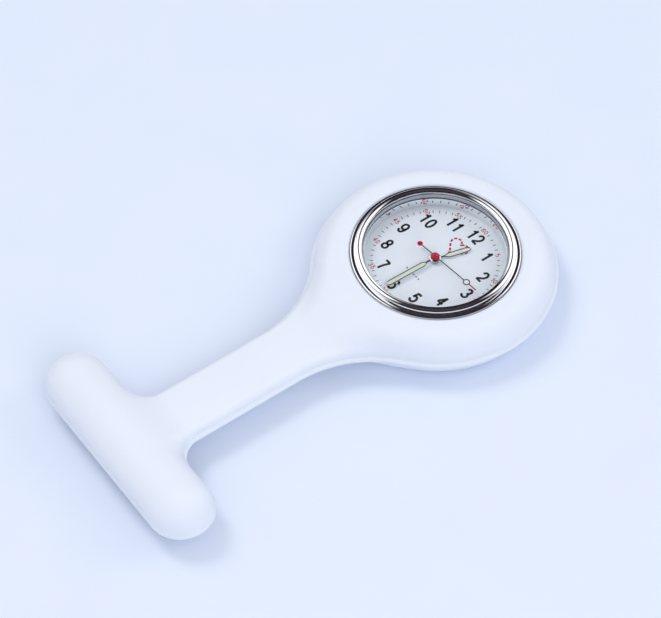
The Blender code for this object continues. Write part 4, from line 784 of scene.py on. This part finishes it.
# %% [markdown]
# The points in the cubes are only near the surface. Newton's method moves each along the function's slope
# until the function is zero there. The cubes are small enough for the rim's ledge to span two of them.


# %% Make the cover
def settle(function, points, step, rounds=4):
    """Newton's steps: each point moves by value times slope over slope squared, at most half a cube."""
    points = points.copy()
    small = 0.01
    for _ in range(rounds):
        value = function(*points.T)
        slope = np.empty_like(points)
        for axis in range(3):
            nudge = np.zeros(3)
            nudge[axis] = small
            slope[:, axis] = (function(*(points + nudge).T) - function(*(points - nudge).T)) / (2 * small)
        size = np.maximum((slope**2).sum(axis=1), 1e-3)
        move = -(value / size)[:, None] * slope
        length = np.linalg.norm(move, axis=1, keepdims=True)
        points += move * np.minimum(1, 0.5 * step / np.maximum(length, 1e-9))
    return points


CUBE = 0.27
cover_low = (COVER_LOW[0] - CUBE, COVER_LOW[1] - HEAD_Y - CUBE, -CUBE)
cover_high = (COVER_HIGH[0] + CUBE, COVER_HIGH[1] - HEAD_Y + CUBE, COVER_HIGH[2] + CUBE)
cover_points, cover_quads = net_surface(cover, cover_low, cover_high, CUBE)
cover_points = to_head(settle(cover, cover_points, CUBE))
silicone_cover = make_piece(
    "silicone_cover", cover_points, cover_quads, silicone, "cover", sharp=75
)
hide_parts("silicone_body")
print(f"cover: {2 * len(cover_quads)} triangles")

# %% [markdown]
# ## Bezel, glass and inner ring
#
# These are all turned on a lathe, so each is a profile carried round the axis. The bezel has a thin flange
# that lies on the silicone, a step, and a high rounded ring. Inside it a grey gasket holds a flat glass
# with a ground edge, and a polished ring leads down to the dial. The ring is a mirror, so it repeats the
# minute track.

# %% Turned pieces of the head
FINE, USUAL = 256, 192  # steps round the axis


def turned_piece(name, node, profile, finish, steps, sharp):
    """A profile turned round the dial's axis, in place of a CAD node of the cover's body."""
    points, faces = turn(profile, steps)
    piece = make_piece(name, to_head(points), faces, finish, "cover", sharp)
    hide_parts(node)


crest_angles = np.radians(np.linspace(172, 12, 14))
bezel_profile = [(12.02, 8.42), (12.02, 9.5)]
bezel_profile += [(12.6 + 0.56 * math.cos(a), 9.52 + 0.37 * math.sin(a)) for a in crest_angles]
bezel_profile += [(13.2, 9.42), (13.24, 9.14), (13.34, 9.06), (13.82, 9.08), (13.95, 9.0), (14.0, 8.86)]
bezel_profile += [(14.0, 8.62), (13.6, 8.6), (13.6, 7.5), (13.06, 7.5), (13.06, 8.42)]
bezel_profile = rounded(bezel_profile, 0.03, 2)
turned_piece("bezel_ring", "bezel", bezel_profile, polished, FINE, 60)

glass_profile = [(0, 8.45), (11.62, 8.45), (11.78, 8.6), (11.78, 9.42), (11.52, 9.65), (0, 9.65)]
glass_profile = rounded(glass_profile, 0.03, 2)
turned_piece("glass_disc", "crystal", glass_profile, glass, FINE, 30)

gasket_profile = rounded([(11.84, 8.5), (11.96, 8.5), (11.96, 9.2), (11.84, 9.2)], 0.05)
turned_piece("glass_gasket", "crystal_gasket", gasket_profile, rubber, USUAL, 60)

rehaut_profile = rounded([(11.6, 6.56), (12.28, 6.56), (12.28, 8.34), (11.74, 8.34)], 0.04)
turned_piece("inner_ring", "rehaut_ring", rehaut_profile, polished, FINE, 40)

DIAL_BORE, DIAL_EDGE, DIAL_BACK = 0.76, 12.28, DIAL_Z - 0.39
dial_profile = [(DIAL_BORE, DIAL_BACK), (DIAL_EDGE, DIAL_BACK), (DIAL_EDGE, DIAL_Z), (DIAL_BORE, DIAL_Z)]
turned_piece("dial_disc", "dial", rounded(dial_profile, 0.03), dial_paint, USUAL, 40)

# %% [markdown]
# ## Print on the dial
#
# Pad printing leaves a film of ink about a hundredth of a millimetre thick, so every mark here is a thin box
# that lies on the paint. A mark is a strip of even width along a path, as a pen would draw it. Text objects
# could give the numbers, but strokes keep the plain, round-shouldered figures of such a dial.

# %% Strips of ink
INK = 0.012  # thickness of the printed film
INK_LOW = DIAL_Z + 0.004


def strip_along(path, width, low=INK_LOW, high=INK_LOW + INK):
    """A closed box along a path: at each point, half the width to each side along the path's normal."""
    tangent = np.gradient(path, axis=0)
    tangent /= np.linalg.norm(tangent, axis=1, keepdims=True)
    normal = np.column_stack([-tangent[:, 1], tangent[:, 0]]) * width / 2
    sides = ((path + normal, low), (path - normal, low), (path - normal, high), (path + normal, high))
    columns = [np.column_stack([side, np.full(len(path), height)]) for side, height in sides]
    points = np.stack(columns, axis=1).reshape(-1, 3)
    last = 4 * len(path) - 4
    faces = grid_faces(len(path), 4).tolist()
    faces += [[3, 2, 1, 0], [last, last + 1, last + 2, last + 3]]
    return points, faces


def merged(parts):
    """Several (points, faces) pairs as one, with the later faces renumbered."""
    points, faces, start = [], [], 0
    for part_points, part_faces in parts:
        points.append(part_points)
        faces += [[corner + start for corner in face] for face in part_faces]
        start += len(part_points)
    return np.vstack(points), faces


def make_print(name, strips, finish):
    """All strips of one colour as one piece of print on the dial."""
    points, faces = merged(strips)
    make_piece(name, to_head(points), faces, finish, "cover", 30)


print(f"ink lies from {INK_LOW:.3f} to {INK_LOW + INK:.3f} mm")

# %% [markdown]
# Each digit is a few strokes in a box that is 1 wide and 1 high: straight lines, arcs of ellipses, and
# curves pulled towards a corner. A 9 is a 6 turned upside down.


# %% Digits drawn as strokes
def arc(x, y, across, high, first, last, steps=20):
    """Points x + across cos a, y + high sin a, from a first to a last angle in degrees."""
    angle = np.radians(np.linspace(first, last, steps))
    return np.column_stack([x + across * np.cos(angle), y + high * np.sin(angle)])


def bend(*corners, steps=14):
    """(1 - t) squared times the first corner, plus 2 t (1 - t) times the second, plus t squared the third."""
    t = np.linspace(0, 1, steps)[:, None]
    a, b, c = np.array(corners, float)
    return (1 - t) ** 2 * a + 2 * t * (1 - t) * b + t**2 * c


def line(*ends):
    return np.linspace(*np.array(ends, float), 4)


SIX = [
    arc(0.5, 0.31, 0.5, 0.31, 0, 360, 32),
    bend((0.0, 0.33), (0.0, 1.05), (0.55, 1.0)),
    bend((0.5, 1.0), (0.83, 1.0), (0.94, 0.78)),
]
DIGIT = {
    "0": [arc(0.5, 0.5, 0.5, 0.5, 0, 360, 40)],
    "1": [line((0.66, -0.07), (0.66, 1.07)), bend((0.66, 1.0), (0.52, 0.8), (0.12, 0.77))],
    "2": [
        arc(0.5, 0.7, 0.48, 0.3, 175, -20),
        bend((0.95, 0.6), (0.82, 0.38), (0.4, 0.22)),
        bend((0.4, 0.22), (0.1, 0.1), (0.03, -0.02)),
        line((-0.05, 0.0), (1.04, 0.0)),
    ],
    "3": [arc(0.47, 0.755, 0.43, 0.245, 165, -90), arc(0.47, 0.255, 0.53, 0.255, 90, -165)],
    "4": [
        line((0.72, -0.07), (0.72, 1.05)),
        line((0.74, 1.0), (0.0, 0.28)),
        line((-0.08, 0.28), (1.1, 0.28)),
    ],
    "5": [
        line((0.96, 1.0), (0.2, 1.0)),
        line((0.22, 1.05), (0.08, 0.45)),
        arc(0.47, 0.33, 0.53, 0.33, 140, -160),
    ],
    "6": SIX,
    "7": [line((-0.05, 1.0), (1.02, 1.0)), bend((1.0, 1.0), (0.5, 0.55), (0.38, -0.07))],
    "8": [arc(0.5, 0.76, 0.41, 0.24, 0, 360, 32), arc(0.5, 0.26, 0.5, 0.26, 0, 360, 32)],
    "9": [1 - stroke for stroke in SIX],
}
print(sum(len(strokes) for strokes in DIGIT.values()), "strokes draw the ten digits")

# %% [markdown]
# The hours are black and upright, whatever their place on the dial. The minutes are small and red, further
# out. Both use the same function, with another height and stroke.

# %% Hour and minute numbers
NARROW = {"1": 0.72}  # a 1 takes less room than the other digits


def number(word, place, height, stroke, width_share):
    """The strips of a number centred on a place. A digit's middle line is the height less one stroke."""
    tall = height - stroke
    wide = height * width_share - stroke
    gap = stroke * 2.1
    steps = [wide * NARROW.get(letter, 1.0) for letter in word]
    left = place[0] - (sum(steps) + gap * (len(word) - 1)) / 2
    strips = []
    for letter, step in zip(word, steps):
        for path in DIGIT[letter]:
            spots = path * [wide, tall] + [left, place[1] - tall / 2]
            strips.append(strip_along(spots, stroke))
        left += step + gap
    return strips


def clock_place(radius, minutes):
    """The place at a radius where the minute hand points after some minutes."""
    angle = math.radians(90 - 6 * minutes)
    return radius * math.cos(angle), radius * math.sin(angle)


HOUR_RADIUS, MINUTE_RADIUS = 8.5, 10.42
hour_strips, minute_strips = [], []
for hour in range(1, 13):
    hour_strips += number(str(hour), clock_place(HOUR_RADIUS, 5 * hour), 2.42, 0.41, 0.56)
    minute_strips += number(str(5 * hour), clock_place(MINUTE_RADIUS, 5 * hour), 0.86, 0.12, 0.62)
make_print("hour_numbers", hour_strips, print_black)
make_print("minute_numbers", minute_strips, print_red)
print(len(hour_strips) + len(minute_strips), "strokes of number")

# %% [markdown]
# A short black line marks each minute that has no red number.

# %% Minute track
TRACK_INNER, TRACK_OUTER, TRACK_WIDTH = 10.15, 10.68, 0.11
ticks = []
for minute in range(60):
    if minute % 5:
        ends = np.array([clock_place(TRACK_INNER, minute), clock_place(TRACK_OUTER, minute)])
        ticks.append(strip_along(ends, TRACK_WIDTH))
make_print("minute_track", ticks, print_black)
print(len(ticks), "ticks")

# %% [markdown]
# Below 12 there is a small emblem: a plain heart, drawn as a dashed line. A heart curve is known in closed
# form, so the dashes are short strips along it. A row of dots stands above 6.

# %% Emblem and dots
DASHES, DASH_WIDTH, HEART_SIZE, HEART_Y = 17, 0.34, 3.6, 4.5
DOTS, DOT_RADIUS, DOTS_HALF, DOTS_Y = 6, 0.14, 1.5, -4.6


def heart(t, size):
    """x = 16 sin cubed, y = 13 cos t - 5 cos 2t - 2 cos 3t - cos 4t, scaled to a size."""
    x = 16 * np.sin(t) ** 3
    y = 13 * np.cos(t) - 5 * np.cos(2 * t) - 2 * np.cos(3 * t) - np.cos(4 * t)
    return np.column_stack([x, y + 2]) * size / 32


dashes = []
for start in np.linspace(0, 2 * math.pi, DASHES, endpoint=False):
    path = heart(np.linspace(start, start + 4.2 / DASHES, 6), HEART_SIZE) + [0, HEART_Y]
    dashes.append(strip_along(path, DASH_WIDTH))
make_print("heart_emblem", dashes, print_red)
dot_profile = [(0, INK_LOW), (DOT_RADIUS, INK_LOW), (DOT_RADIUS, INK_LOW + INK), (0, INK_LOW + INK)]
dot_points, dot_faces = turn(dot_profile, 12)
dot_places = np.linspace(-DOTS_HALF, DOTS_HALF, DOTS)
dots = [(dot_points + [x, DOTS_Y, 0], dot_faces.tolist()) for x in dot_places]
make_print("dial_dots", dots, print_black)

# %% [markdown]
# ## Hands
#
# The hour and minute hands are stamped and polished frames with a raised border, filled with pale luminous
# paint. Each outline is worked out once, for the right half. The frame carries a low gable round it, and
# the paint is a slab inside it whose rings shrink to the middle line.


# %% Outlines of the hands
def baton(length, half, neck, shoulder, steps=10):
    """Half the outline of a baton, from the hub outwards.

    Over the shoulder the width grows from the neck as a quarter of a sine wave, then the side is straight,
    and the point is a quarter of an ellipse.
    """
    along = np.linspace(0, 1, steps)
    swell = np.sin(along * np.pi / 2)
    bulge = np.column_stack([neck + (half - neck) * swell, shoulder + 0.9 * along])
    tip = np.column_stack([half * np.cos(along * np.pi / 2), length - 1.0 + swell])
    return np.vstack([bulge, tip])


def mirrored(right_half):
    """A whole outline from its right half, which starts and ends near the middle line."""
    return np.vstack([right_half, right_half[::-1] * [-1, 1]])


def inset(shape, amount):
    """Moves each point inwards along the outline's normal. The outline runs anticlockwise."""
    tangent = np.roll(shape, -1, axis=0) - np.roll(shape, 1, axis=0)
    tangent /= np.maximum(np.linalg.norm(tangent, axis=1, keepdims=True), 1e-9)
    return shape + np.column_stack([-tangent[:, 1], tangent[:, 0]]) * amount


def lifted(shape, height):
    return np.column_stack([shape, np.full(len(shape), height)])


def frame_shape(shape, border, low, high):
    """A border round an outline: outer foot, outer top, gable, inner top and inner foot."""
    levels = [(0, low), (0, low + 0.06), (border * 0.5, high), (border, low + 0.07), (border, low)]
    rings = [lifted(inset(shape, amount), height) for amount, height in levels]
    return np.vstack(rings), grid_faces(len(levels), len(shape), wrap_rows=True)


def slab_shape(shape, low, high, edge=0.05):
    """A filled outline with a soft upper edge, capped by rings that shrink to its middle line."""
    middle = shape * [0, 1]
    rings = [lifted(middle, low), lifted(shape * 0.5 + middle * 0.5, low)]
    rings += [lifted(shape, low), lifted(shape, high - edge), lifted(inset(shape, edge), high)]
    rings += [lifted(shape * 0.4 + middle * 0.6, high + 0.03), lifted(middle, high + 0.04)]
    return np.vstack(rings), grid_faces(len(rings), len(shape))


print("a baton's half outline has", len(baton(6.0, 0.5, 0.2, 1.8)), "points")

# %% [markdown]
# A hand is drawn pointing at 12 and then turned clockwise to its time. Its height comes from the CAD node
# that it replaces, so it keeps clear of the hand above, and it rides on that hand's own body.

# %% Hour and minute hands
BOX_FACES = [(3, 2, 1, 0), (4, 5, 6, 7), (0, 1, 5, 4), (1, 2, 6, 5), (2, 3, 7, 6), (3, 0, 4, 7)]
BATON_HALF, BATON_BORDER, BATON_HIGH = 0.52, 0.2, 0.17
NECK_HALF, NECK_FROM, NECK_TO, SHOULDER, ROOT_Y = 0.17, 0.7, 1.9, 1.75, 0.4
HUB_RADIUS, HUB_TOP_RADIUS, HUB_EDGE, HUB_HIGH = 0.98, 0.8, 0.12, 0.22
FILL_INSET, FILL_LOW, FILL_HIGH = 0.17, 0.02, 0.08


def turn_clockwise(points, degrees):
    """Turns points about the dial's axis, clockwise as the dial is read."""
    angle = -math.radians(degrees)
    x = points[:, 0] * math.cos(angle) - points[:, 1] * math.sin(angle)
    y = points[:, 0] * math.sin(angle) + points[:, 1] * math.cos(angle)
    return np.column_stack([x, y, points[:, 2]])


def baton_hand(name, node, body, length, clockwise, hub_bore):
    """A framed blade, its neck and its hub as one piece of metal, and the paint as another."""
    low = box_mm(node)[0][2]
    right_half = baton(length, BATON_HALF, NECK_HALF, SHOULDER)
    whole = mirrored(np.vstack([[[NECK_HALF, ROOT_Y]], right_half]))
    blade = frame_shape(whole, BATON_BORDER, low, low + BATON_HIGH)
    hub_profile = [(hub_bore, low), (HUB_RADIUS, low), (HUB_RADIUS, low + HUB_EDGE)]
    hub_profile += [(HUB_TOP_RADIUS, low + HUB_HIGH), (hub_bore, low + HUB_HIGH)]
    hub = turn(rounded(hub_profile, 0.05), 64)
    half, near, far = NECK_HALF, NECK_FROM, NECK_TO
    neck = np.array([(half, near), (half, far), (-half, far), (-half, near)])
    neck_box = np.vstack([lifted(neck, low + 0.01), lifted(neck, low + 0.12)])
    points, faces = merged([blade, hub, (neck_box, BOX_FACES)])
    points = to_head(turn_clockwise(points, clockwise))
    steel = make_piece(name + "_frame", points, faces, polished, body, 30)
    fill = inset(mirrored(right_half), FILL_INSET)
    points, faces = slab_shape(fill, low + FILL_LOW, low + FILL_HIGH)
    points = to_head(turn_clockwise(points, clockwise))
    make_piece(name + "_lume", points, faces, lume, body, 40)
    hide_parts(node)


HOUR_CLOCKWISE, MINUTE_CLOCKWISE, SECOND_CLOCKWISE = 15.12, 181.4, 84.0
baton_hand("hour", "hour_hand", "hours_work", 6.45, HOUR_CLOCKWISE, 0.57)
baton_hand("minute", "minute_hand", "minutes_work", 9.95, MINUTE_CLOCKWISE, 0.3)
print("the two hands show", round(HOUR_CLOCKWISE / 30, 2), "hours past 12")

# %% [markdown]
# The second hand is a lacquered wire. Towards its point it opens into a ring, and a red needle goes on from
# there. A red counterweight balances it at the other end, and a red cap covers the hubs of all three hands.

# %% Second hand
second_low = box_mm("second_hand")[0][2]
WIRE_LOW, WIRE_HIGH = second_low + 0.01, second_low + 0.11
WIRE_FROM, WIRE_TO, WIRE_TAIL = 0.3, 6.78, -3.2
RING_Y, RING_RADIUS = 7.33, 0.53
TIP_FROM, TIP_TO, TAIL_Y, TAIL_RADIUS = 7.9, 9.5, -3.6, 0.47
CAP_RADIUS, CAP_BULGE, CAP_LOW, CAP_EDGE, CAP_HIGH = 0.72, 0.66, -0.02, 0.12, 0.48


def straight_wire(first, last, count, width):
    """A strip along the hand's middle line."""
    path = np.column_stack([np.zeros(count), np.linspace(first, last, count)])
    return strip_along(path, width, WIRE_LOW, WIRE_HIGH)


def second_piece(name, shape, finish, sharp):
    """A piece of the second hand, turned to its time."""
    points = to_head(turn_clockwise(shape[0], SECOND_CLOCKWISE))
    make_piece(name, points, shape[1], finish, "seconds_work", sharp)


wires = [straight_wire(WIRE_FROM, WIRE_TO, 8, 0.15), straight_wire(-WIRE_FROM, WIRE_TAIL, 8, 0.15)]
second_piece("second_wire", merged(wires), dark_lacquer, 40)

section = np.linspace(0, 2 * np.pi, 10, endpoint=False)
ring_heights = second_low + 0.08 + 0.07 * np.sin(section)
ring_profile = np.column_stack([RING_RADIUS + 0.09 * np.cos(section), ring_heights])
ring_points, ring_faces = turn(ring_profile, 48)
second_piece("second_ring", (ring_points + [0, RING_Y, 0], ring_faces), dark_lacquer, 80)

tail_profile = [(0, second_low), (TAIL_RADIUS, second_low)]
tail_profile += [(TAIL_RADIUS, second_low + 0.13), (0, second_low + 0.15)]
tail_points, tail_faces = turn(rounded(tail_profile, 0.04), 48)
tip = straight_wire(TIP_FROM, TIP_TO, 6, 0.17)
ends = merged([tip, (tail_points + [0, TAIL_Y, 0], tail_faces.tolist())])
second_piece("second_ends", ends, red_lacquer, 40)

cap_angles = np.radians(np.linspace(0, 90, 10))[:-1]
cap_profile = [(0, CAP_LOW), (CAP_RADIUS, CAP_LOW), (CAP_RADIUS, CAP_EDGE)]
cap_profile += [(CAP_BULGE * math.cos(a), 0.14 + 0.34 * math.sin(a)) for a in cap_angles]
cap_profile += [(0, CAP_HIGH)]
points, faces = turn(np.array(cap_profile) + [0, second_low], 64)
cap = make_piece("second_cap", to_head(points), faces, red_lacquer, "seconds_work", 35)
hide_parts("second_hand")
print("the second hand shows", SECOND_CLOCKWISE / 6, "seconds")

# %% [markdown]
# ## The back and the brooch
#
# Underneath, the case back shows through the opening in the silicone. It is a stamped and brushed disc with
# a shallow groove near its edge.

# %% Case back
back_low = box_mm("case_back")[0][2]
GROOVE = 0.06
back_profile = [(0, 0.5), (13.25, 0.5), (13.28, 0.1), (13.1, 0), (10.9, 0), (10.8, GROOVE)]
back_profile += [(10.6, GROOVE), (10.5, 0), (0, 0)]
back_profile = rounded(np.array(back_profile) + [0, back_low], 0.05, 3)
turned_piece("case_back_cap", "case_back", back_profile, brushed, USUAL, 40)

# %% [markdown]
# The brooch needle is a ground steel pin with an eye at its hinge. Pin and eye are both turned, and then
# laid down: the pin along the bar, the eye round the rivet. The plate, the rivet and the turning collar are
# right as they are in the CAD model.


# %% Needle
def along_x(points, y, z):
    """Lays a piece that was turned about Z along X, at a height."""
    return np.column_stack([points[:, 2], points[:, 0] + y, points[:, 1] + z])


PIN_RADIUS = 0.34
tip_x = box_mm("needle")[1][0]
rivet_low, rivet_high = box_mm("hinge_rivet")
hinge_x, _, hinge_z = (rivet_low + rivet_high) / 2
shank = [(0, hinge_x + 0.45), (PIN_RADIUS, hinge_x + 0.5), (PIN_RADIUS, tip_x - 3.4), (0.3, tip_x - 2.6)]
point = [(0.2, tip_x - 1.4), (0.1, tip_x - 0.5), (0.04, tip_x - 0.08), (0, tip_x)]
shank_points, shank_faces = turn(shank + point, 32)
shank_points = along_x(shank_points, BAR_Y, hinge_z)
eye_profile = rounded([(0.39, -0.42), (0.74, -0.42), (0.74, 0.42), (0.39, 0.42)], 0.1)
eye_points, eye_faces = turn(eye_profile, 48)
eye_points = eye_points[:, [0, 2, 1]] + [hinge_x, BAR_Y, hinge_z]
parts = [(shank_points, shank_faces.tolist()), (eye_points, eye_faces.tolist())]
needle_points, needle_faces = merged(parts)
needle = make_piece("pin_needle", needle_points, needle_faces, polished, "needle_work")
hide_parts("needle")
print(f"needle from {hinge_x:.1f} to {tip_x:.1f} mm")

# %% [markdown]
# ## The other CAD pieces
#
# Everything that is right as it stands keeps its CAD mesh and only gets the finish of its material slot.
# Most of it is out of sight inside the case.

# %% Finishes for the CAD nodes
finish_of = {
    "white_silicone": silicone,
    "polished_steel": polished,
    "brushed_steel": brushed,
    "brass": brass,
    "copper_wire": copper,
    "holder_plastic": plastic,
    "wheel_plastic": wheel_plastic,
    "black_plastic": dark_plastic,
    "grey_rubber": rubber,
    "circuit_green": board,
    "mineral_glass": glass,
    "dial_paint": dial_paint,
    "red_lacquer": red_lacquer,
}
for part in frame["record"]["subparts"]:
    node = frame["nodes"][part["node"]]
    for slot in node.material_slots:
        slot.material = finish_of[part["material_slot"]]
